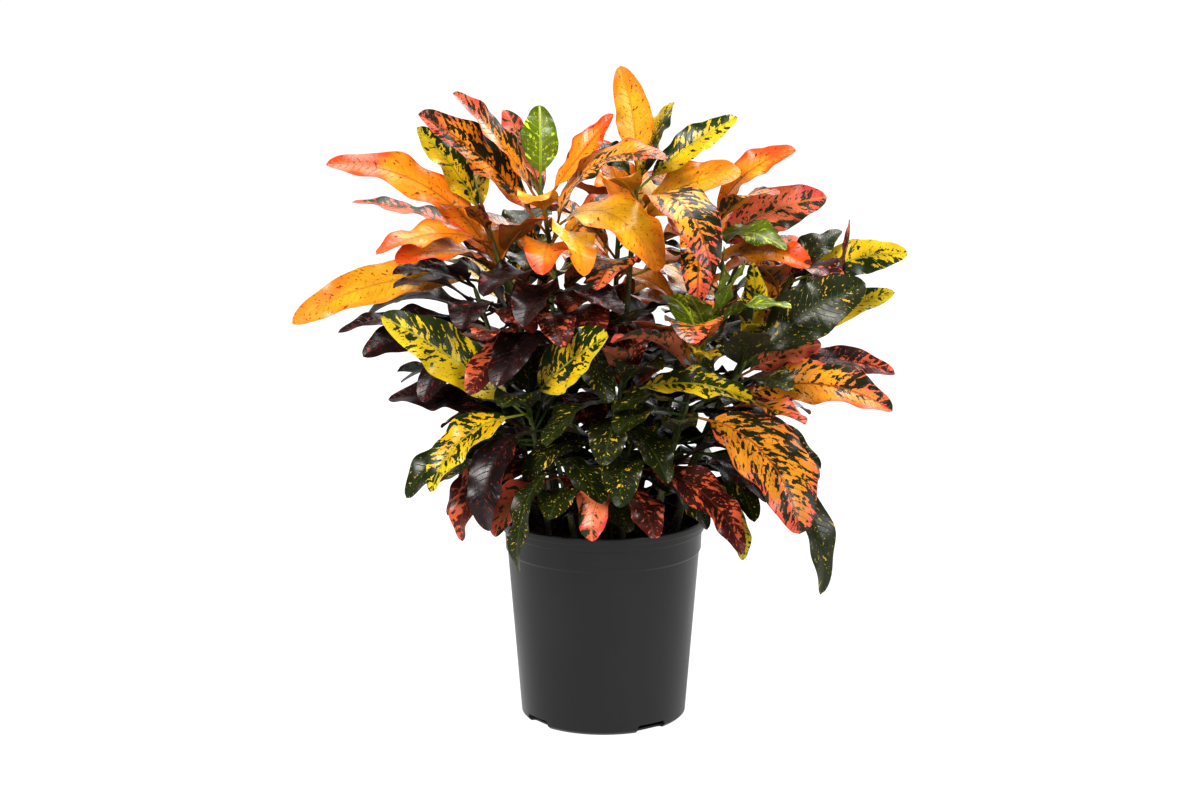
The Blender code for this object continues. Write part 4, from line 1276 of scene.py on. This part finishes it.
def add_stem(piece, shoot, rng):
    """A shoot's stem, with the rings that fallen leaves left on it and a bud at its tip."""
    heights = np.linspace(HOLE_FLOOR, shoot.tip[2], STEM_RINGS)
    centres = [stem_point(shoot, height) for height in heights]
    scars = np.sin(heights / SCAR_PITCH + rng.uniform(0.0, SCAR_PHASES))
    swell = 1.0 + SCAR_SWELL * np.maximum(0.0, scars) ** SCAR_CURVE
    radii = [stem_radius(shoot, height) * grown for height, grown in zip(heights, swell)]
    radii[-2] *= BUD_SHARE
    radii[-1] = BUD_TIP
    climbed = np.clip((heights - SOIL_TOP) / (shoot.tip[2] - SOIL_TOP), 0.0, 1.0)[:, None]
    wood = np.array(WOOD_COLOUR) * (1.0 - climbed) + np.array(GREEN_WOOD_COLOUR) * climbed
    add_tube(piece, centres, radii, STEM_FINE_SIDES, WOOD_SLOT, wood)


def dress_stems():
    """Replace every leafy stem of the frame with a fine one of the same form."""
    # The last surface is a dimmed copy of the blade, painted shade for the shaded inner leaves.
    surfaces = [blade_surface("croton_blade", BLADE_SHINE), stalk_surface(), wood_surface(),
                blade_surface("croton_shade_blade", SHADE_SHINE)]
    settled = settle()
    for order, shoot in enumerate(SHOOTS):
        piece = Piece()
        add_stem(piece, shoot, np.random.default_rng(order))
        for index, (leaf, root, inner, shaded) in enumerate(settled[shoot.name]):
            add_leaf(piece, leaf, root, order * SEEDS_A_STEM + index, inner, shaded)
        made = piece.make(f"{shoot.name}_leaves", surfaces)
        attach(made, "root")
        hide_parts(shoot.name)


# ---------------------------------------------------------------- pot and soil


def wall_radius(height):
    """Outer radius of the pot's plain tapering wall."""
    return BASE_RADIUS + (SHOULDER_RADIUS - BASE_RADIUS) * height / SHOULDER_HEIGHT


def pot_profile():
    """The pot's section: down its outside, across its floor and up its inside."""
    return [
        (RIM_RADIUS - LIP_ROUND, POT_HEIGHT),
        (RIM_RADIUS, POT_HEIGHT - LIP_ROUND),
        (RIM_RADIUS - DRAFT, LIP_FOOT),
        (STEP_RADIUS, LIP_FOOT - LEDGE_FALL),
        (STEP_RADIUS - DRAFT, STEP_FOOT),
        (COLLAR_RADIUS, STEP_FOOT - LEDGE_FALL),
        (COLLAR_RADIUS - 2 * DRAFT, COLLAR_FOOT),
        (SHOULDER_RADIUS, SHOULDER_HEIGHT),
        (wall_radius(FOOT_BAND), FOOT_BAND),
        (wall_radius(FOOT_ROUND), FOOT_ROUND),
        (BASE_RADIUS - FOOT_ROUND, 0.0),
        (0.0, 0.0),
        (0.0, WALL),
        (BASE_RADIUS - WALL - FOOT_ROUND, WALL),
        (wall_radius(FOOT_BAND) - WALL, FOOT_BAND),
        (SHOULDER_RADIUS - WALL, SHOULDER_HEIGHT),
        (COLLAR_RADIUS - WALL - 2 * DRAFT, COLLAR_FOOT + INNER_RISE),
        (COLLAR_RADIUS - WALL, STEP_FOOT + INNER_RISE),
        (STEP_RADIUS - WALL, LIP_FOOT + INNER_RISE),
        (RIM_RADIUS - WALL - DRAFT, LIP_FOOT + INNER_RISE + LEDGE_FALL),
        (RIM_RADIUS - WALL, POT_HEIGHT - LIP_ROUND),
        (RIM_RADIUS - LIP_ROUND, POT_HEIGHT),
    ]


def lathe(name, profile, steps, surface):
    """Turn a profile of (radius, height) points, given down the outer side, about the Z axis."""
    mesh = bpy.data.meshes.new(name)
    points = [(radius * MM, 0.0, height * MM) for radius, height in profile]
    mesh.from_pydata(points, [(i, i + 1) for i in range(len(points) - 1)], [])
    mesh.materials.append(surface)
    turned = add_object(name, mesh)
    screw = turned.modifiers.new("turn", "SCREW")
    screw.steps = screw.render_steps = steps
    screw.use_merge_vertices = True
    screw.merge_threshold = MERGE_DISTANCE
    screw.use_smooth_shade = True
    return turned


def rounded(points, radius, steps):
    """A profile with each inner corner replaced by a short arc, drawn as a quadratic curve."""
    smooth = [points[0]]
    for before, corner, after in zip(points, points[1:], points[2:]):
        before, corner, after = Vector(before), Vector(corner), Vector(after)
        start = corner + (before - corner).normalized() * min(radius, (before - corner).length * CORNER_SHARE)
        end = corner + (after - corner).normalized() * min(radius, (after - corner).length * CORNER_SHARE)
        for step in range(steps + 1):
            share = step / steps
            first = start.lerp(corner, share)
            second = corner.lerp(end, share)
            smooth.append(tuple(first.lerp(second, share)))
    return smooth + [points[-1]]


def notch_cutter(index):
    """A rounded block that cuts one drainage notch."""
    azimuth = math.radians(NOTCH_FIRST - 90.0 + index * 360.0 / NOTCH_COUNT)
    mesh = bpy.data.meshes.new("notch")
    cube = bmesh.new()
    bmesh.ops.create_cube(cube, size=1.0)
    size = Vector((2.0 * NOTCH_DEPTH, NOTCH_WIDTH, 2.0 * NOTCH_HEIGHT)) * MM
    bmesh.ops.scale(cube, vec=size, verts=cube.verts)
    cube.to_mesh(mesh)
    cube.free()
    notch = bpy.data.objects.new(f"notch_{index}", mesh)
    notch.location = Vector((math.cos(azimuth), math.sin(azimuth), 0.0)) * BASE_RADIUS * MM
    notch.rotation_euler.z = azimuth
    bevel = notch.modifiers.new("round", "BEVEL")
    bevel.width = NOTCH_ROUND * MM
    bevel.segments = NOTCH_ROUND_STEPS
    return notch


def make_pot():
    """The nursery pot: the solid's section with its corners rounded, and its notches cut."""
    profile = rounded(pot_profile(), POT_ROUND, POT_ROUND_STEPS)
    pot = lathe("pot_shell", profile, POT_FINE_SIDES, pot_surface())
    notches = bpy.data.collections.new("notches")
    bpy.context.scene.collection.children.link(notches)
    for index in range(NOTCH_COUNT):
        notches.objects.link(notch_cutter(index))
    cut = pot.modifiers.new("notches", "BOOLEAN")
    cut.operation = "DIFFERENCE"
    cut.operand_type = "COLLECTION"
    cut.collection = notches
    cut.solver = "EXACT"
    graph = bpy.context.evaluated_depsgraph_get()
    finished = bpy.data.meshes.new_from_object(pot.evaluated_get(graph))
    pot.modifiers.clear()
    pot.data = finished
    for notch in list(notches.objects):
        bpy.data.objects.remove(notch)
    bpy.data.collections.remove(notches)
    finished.shade_smooth()
    finished.set_sharp_from_angle(angle=math.radians(SHARP_ANGLE))
    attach(pot, "root")
    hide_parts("pot")


def soil_height(x, y):
    """Height of the lumpy soil at a place, in millimetres."""
    radius = math.hypot(x, y)
    share = min(1.0, radius / (COLLAR_RADIUS - WALL))
    mound = SOIL_TOP + SOIL_MOUND * (1.0 - share ** 3)
    place = Vector((x, y, 0.0))
    coarse = noise.noise(place / SOIL_LUMP) * SOIL_LUMP_HEIGHT
    fine = noise.noise(place / SOIL_CRUMB) * SOIL_CRUMB_HEIGHT
    return mound + coarse + fine


def soil_points():
    """Points of the soil: its middle, the rings out to the pot's wall, and the foot of its skirt."""
    edge = COLLAR_RADIUS - WALL - 2 * DRAFT - GAP
    points = [(0.0, 0.0, soil_height(0.0, 0.0))]
    for ring in range(1, SOIL_RINGS + 1):
        for side in range(SOIL_SIDES):
            angle = 2.0 * math.pi * side / SOIL_SIDES
            x = edge * ring / SOIL_RINGS * math.cos(angle)
            y = edge * ring / SOIL_RINGS * math.sin(angle)
            points.append((x, y, soil_height(x, y)))
    for side in range(SOIL_SIDES):
        angle = 2.0 * math.pi * side / SOIL_SIDES
        points.append((edge * math.cos(angle), edge * math.sin(angle), SOIL_TOP - SOIL_SKIRT))
    return points


def soil_faces():
    """Faces between the soil's points, closed below."""
    faces = []
    for side in range(SOIL_SIDES):
        following = (side + 1) % SOIL_SIDES
        faces.append((0, 1 + side, 1 + following))
        for ring in range(SOIL_RINGS):
            near = 1 + ring * SOIL_SIDES
            far = near + SOIL_SIDES
            faces.append((near + side, far + side, far + following, near + following))
    faces.append([1 + SOIL_RINGS * SOIL_SIDES + side for side in reversed(range(SOIL_SIDES))])
    return faces


def make_soil():
    """The soil: a lumpy top out to the pot's wall, and a plain skirt that goes down inside it."""
    mesh = bpy.data.meshes.new("soil")
    mesh.from_pydata([Vector(point) * MM for point in soil_points()], [], soil_faces())
    mesh.materials.append(soil_surface())
    mesh.shade_smooth()
    soil = add_object("potting_mix", mesh)
    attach(soil, "root")
    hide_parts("soil")


def scattered(rng, total, margin):
    """Places on the soil, evenly spread from its middle to its edge."""
    reach = COLLAR_RADIUS - WALL - margin
    for index in range(total):
        radius = reach * math.sqrt((index + 0.5) / total)
        angle = index * GOLDEN_ANGLE + rng.uniform(-SCATTER_SWING, SCATTER_SWING)
        yield radius * math.cos(angle), radius * math.sin(angle)


def make_crumbs(name, total, size, flatness, surface, seed):
    """Loose bits on the soil: lumps of a few faces, each turned and stretched its own way."""
    rng = random.Random(seed)
    whole = bmesh.new()
    for x, y in scattered(rng, total, size[1]):
        length = rng.uniform(*size)
        tilts = [rng.uniform(-CRUMB_TILT, CRUMB_TILT) for _ in range(2)]
        turn = Euler((*tilts, rng.uniform(0.0, 2.0 * math.pi)))
        place = Vector((x, y, soil_height(x, y) + length * flatness * CRUMB_SINK)) * MM
        sides = Vector((length, length * rng.uniform(*CRUMB_WIDTHS), length * flatness)) * MM
        shape = Matrix.Diagonal((*sides, 1.0))
        matrix = Matrix.Translation(place) @ turn.to_matrix().to_4x4() @ shape
        lump = bmesh.ops.create_icosphere(whole, subdivisions=1, radius=0.5, matrix=matrix)
        for vert in lump["verts"]:
            vert.co = vert.co.lerp(place, rng.uniform(*CRUMB_DENTS))
    mesh = bpy.data.meshes.new(name)
    whole.to_mesh(mesh)
    whole.free()
    mesh.materials.append(surface)
    made = add_object(name, mesh)
    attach(made, "root")


# ---------------------------------------------------------------- stage


def glowing_surface():
    """The stage's surface: an even white glow, like a light table's."""
    g = Graph("white_glow")
    g.set("Base Color", FLOOR_COLOUR)
    g.set("Roughness", FLOOR_ROUGHNESS)
    g.set("Emission Color", WHITE)
    g.set("Emission Strength", FLOOR_GLOW)
    return g.material


def make_stage():
    """A glowing white floor that curves up into a backdrop far behind the plant."""
    profile = [(-STAGE_FRONT, 0.0), (STAGE_BACK - STAGE_CURVE, 0.0)]
    for step in range(1, STAGE_STEPS + 1):
        angle = 0.5 * math.pi * step / STAGE_STEPS
        profile.append((STAGE_BACK - STAGE_CURVE + STAGE_CURVE * math.sin(angle),
                        STAGE_CURVE - STAGE_CURVE * math.cos(angle)))
    profile.append((STAGE_BACK, STAGE_HEIGHT))
    points = [(hand * STAGE_WIDTH, y, z) for y, z in profile for hand in (-1.0, 1.0)]
    faces = [(2 * i, 2 * i + 1, 2 * i + 3, 2 * i + 2) for i in range(len(profile) - 1)]
    mesh = bpy.data.meshes.new("floor")
    mesh.from_pydata(points, [], faces)
    mesh.materials.append(glowing_surface())
    mesh.shade_smooth()
    add_object("floor", mesh)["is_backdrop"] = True


def add_light(name, place, size, power, colour):
    """A soft square light that faces the middle of the plant."""
    light = bpy.data.lights.new(name, "AREA")
    light.size = size
    light.energy = power
    light.color = colour
    lamp = bpy.data.objects.new(name, light)
    bpy.context.scene.collection.objects.link(lamp)
    lamp.location = place
    lamp.rotation_euler = (Vector(CAMERA_TARGET) - Vector(place)).to_track_quat("-Z", "Y").to_euler()


def make_lights():
    """A broad key from the upper left, a fill from the right, light from above, and a white sky."""
    for name, place, size, power, colour in LIGHTS:
        add_light(name, place, size, power, colour)
    world = bpy.data.worlds.new("studio")
    world.use_nodes = True
    sky = world.node_tree.nodes["Background"]
    sky.inputs["Color"].default_value = WHITE
    sky.inputs["Strength"].default_value = SKY_STRENGTH
    bpy.context.scene.world = world
    bpy.context.scene.view_settings.view_transform = "Standard"
    bpy.context.scene.view_settings.gamma = GRADE_GAMMA


def make_camera():
    """A long lens on the plant's front, a little above it."""
    lens = bpy.data.cameras.new("camera")
    lens.sensor_width = SENSOR_WIDTH
    lens.lens = CAMERA_LENS
    lens.shift_x = CAMERA_SHIFT[0]
    lens.shift_y = CAMERA_SHIFT[1]
    camera = bpy.data.objects.new("camera", lens)
    bpy.context.scene.collection.objects.link(camera)
    rise = math.radians(CAMERA_RISE)
    back = Vector((0.0, -math.cos(rise), math.sin(rise)))
    camera.location = Vector(CAMERA_TARGET) + CAMERA_DISTANCE * back
    camera.rotation_euler = (math.pi / 2.0 - rise, 0.0, 0.0)
    bpy.context.scene.camera = camera


def write_sizes():
    """Put the solid's box and the dressed part's box side by side in a list, which is not kept."""
    boxes = [[list(corner) for corner in box] for box in (cad_box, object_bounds())]


make_camera()
make_lights()
make_stage()
make_pot()
make_soil()
make_crumbs("bark_chips", CHIPS, CHIP_SIZES, CHIP_FLATNESS, chip_surface(), seed=11)
make_crumbs("perlite", PERLITE, PERLITE_SIZES, PERLITE_FLATNESS, perlite_surface(), seed=12)
dress_stems()
write_sizes()
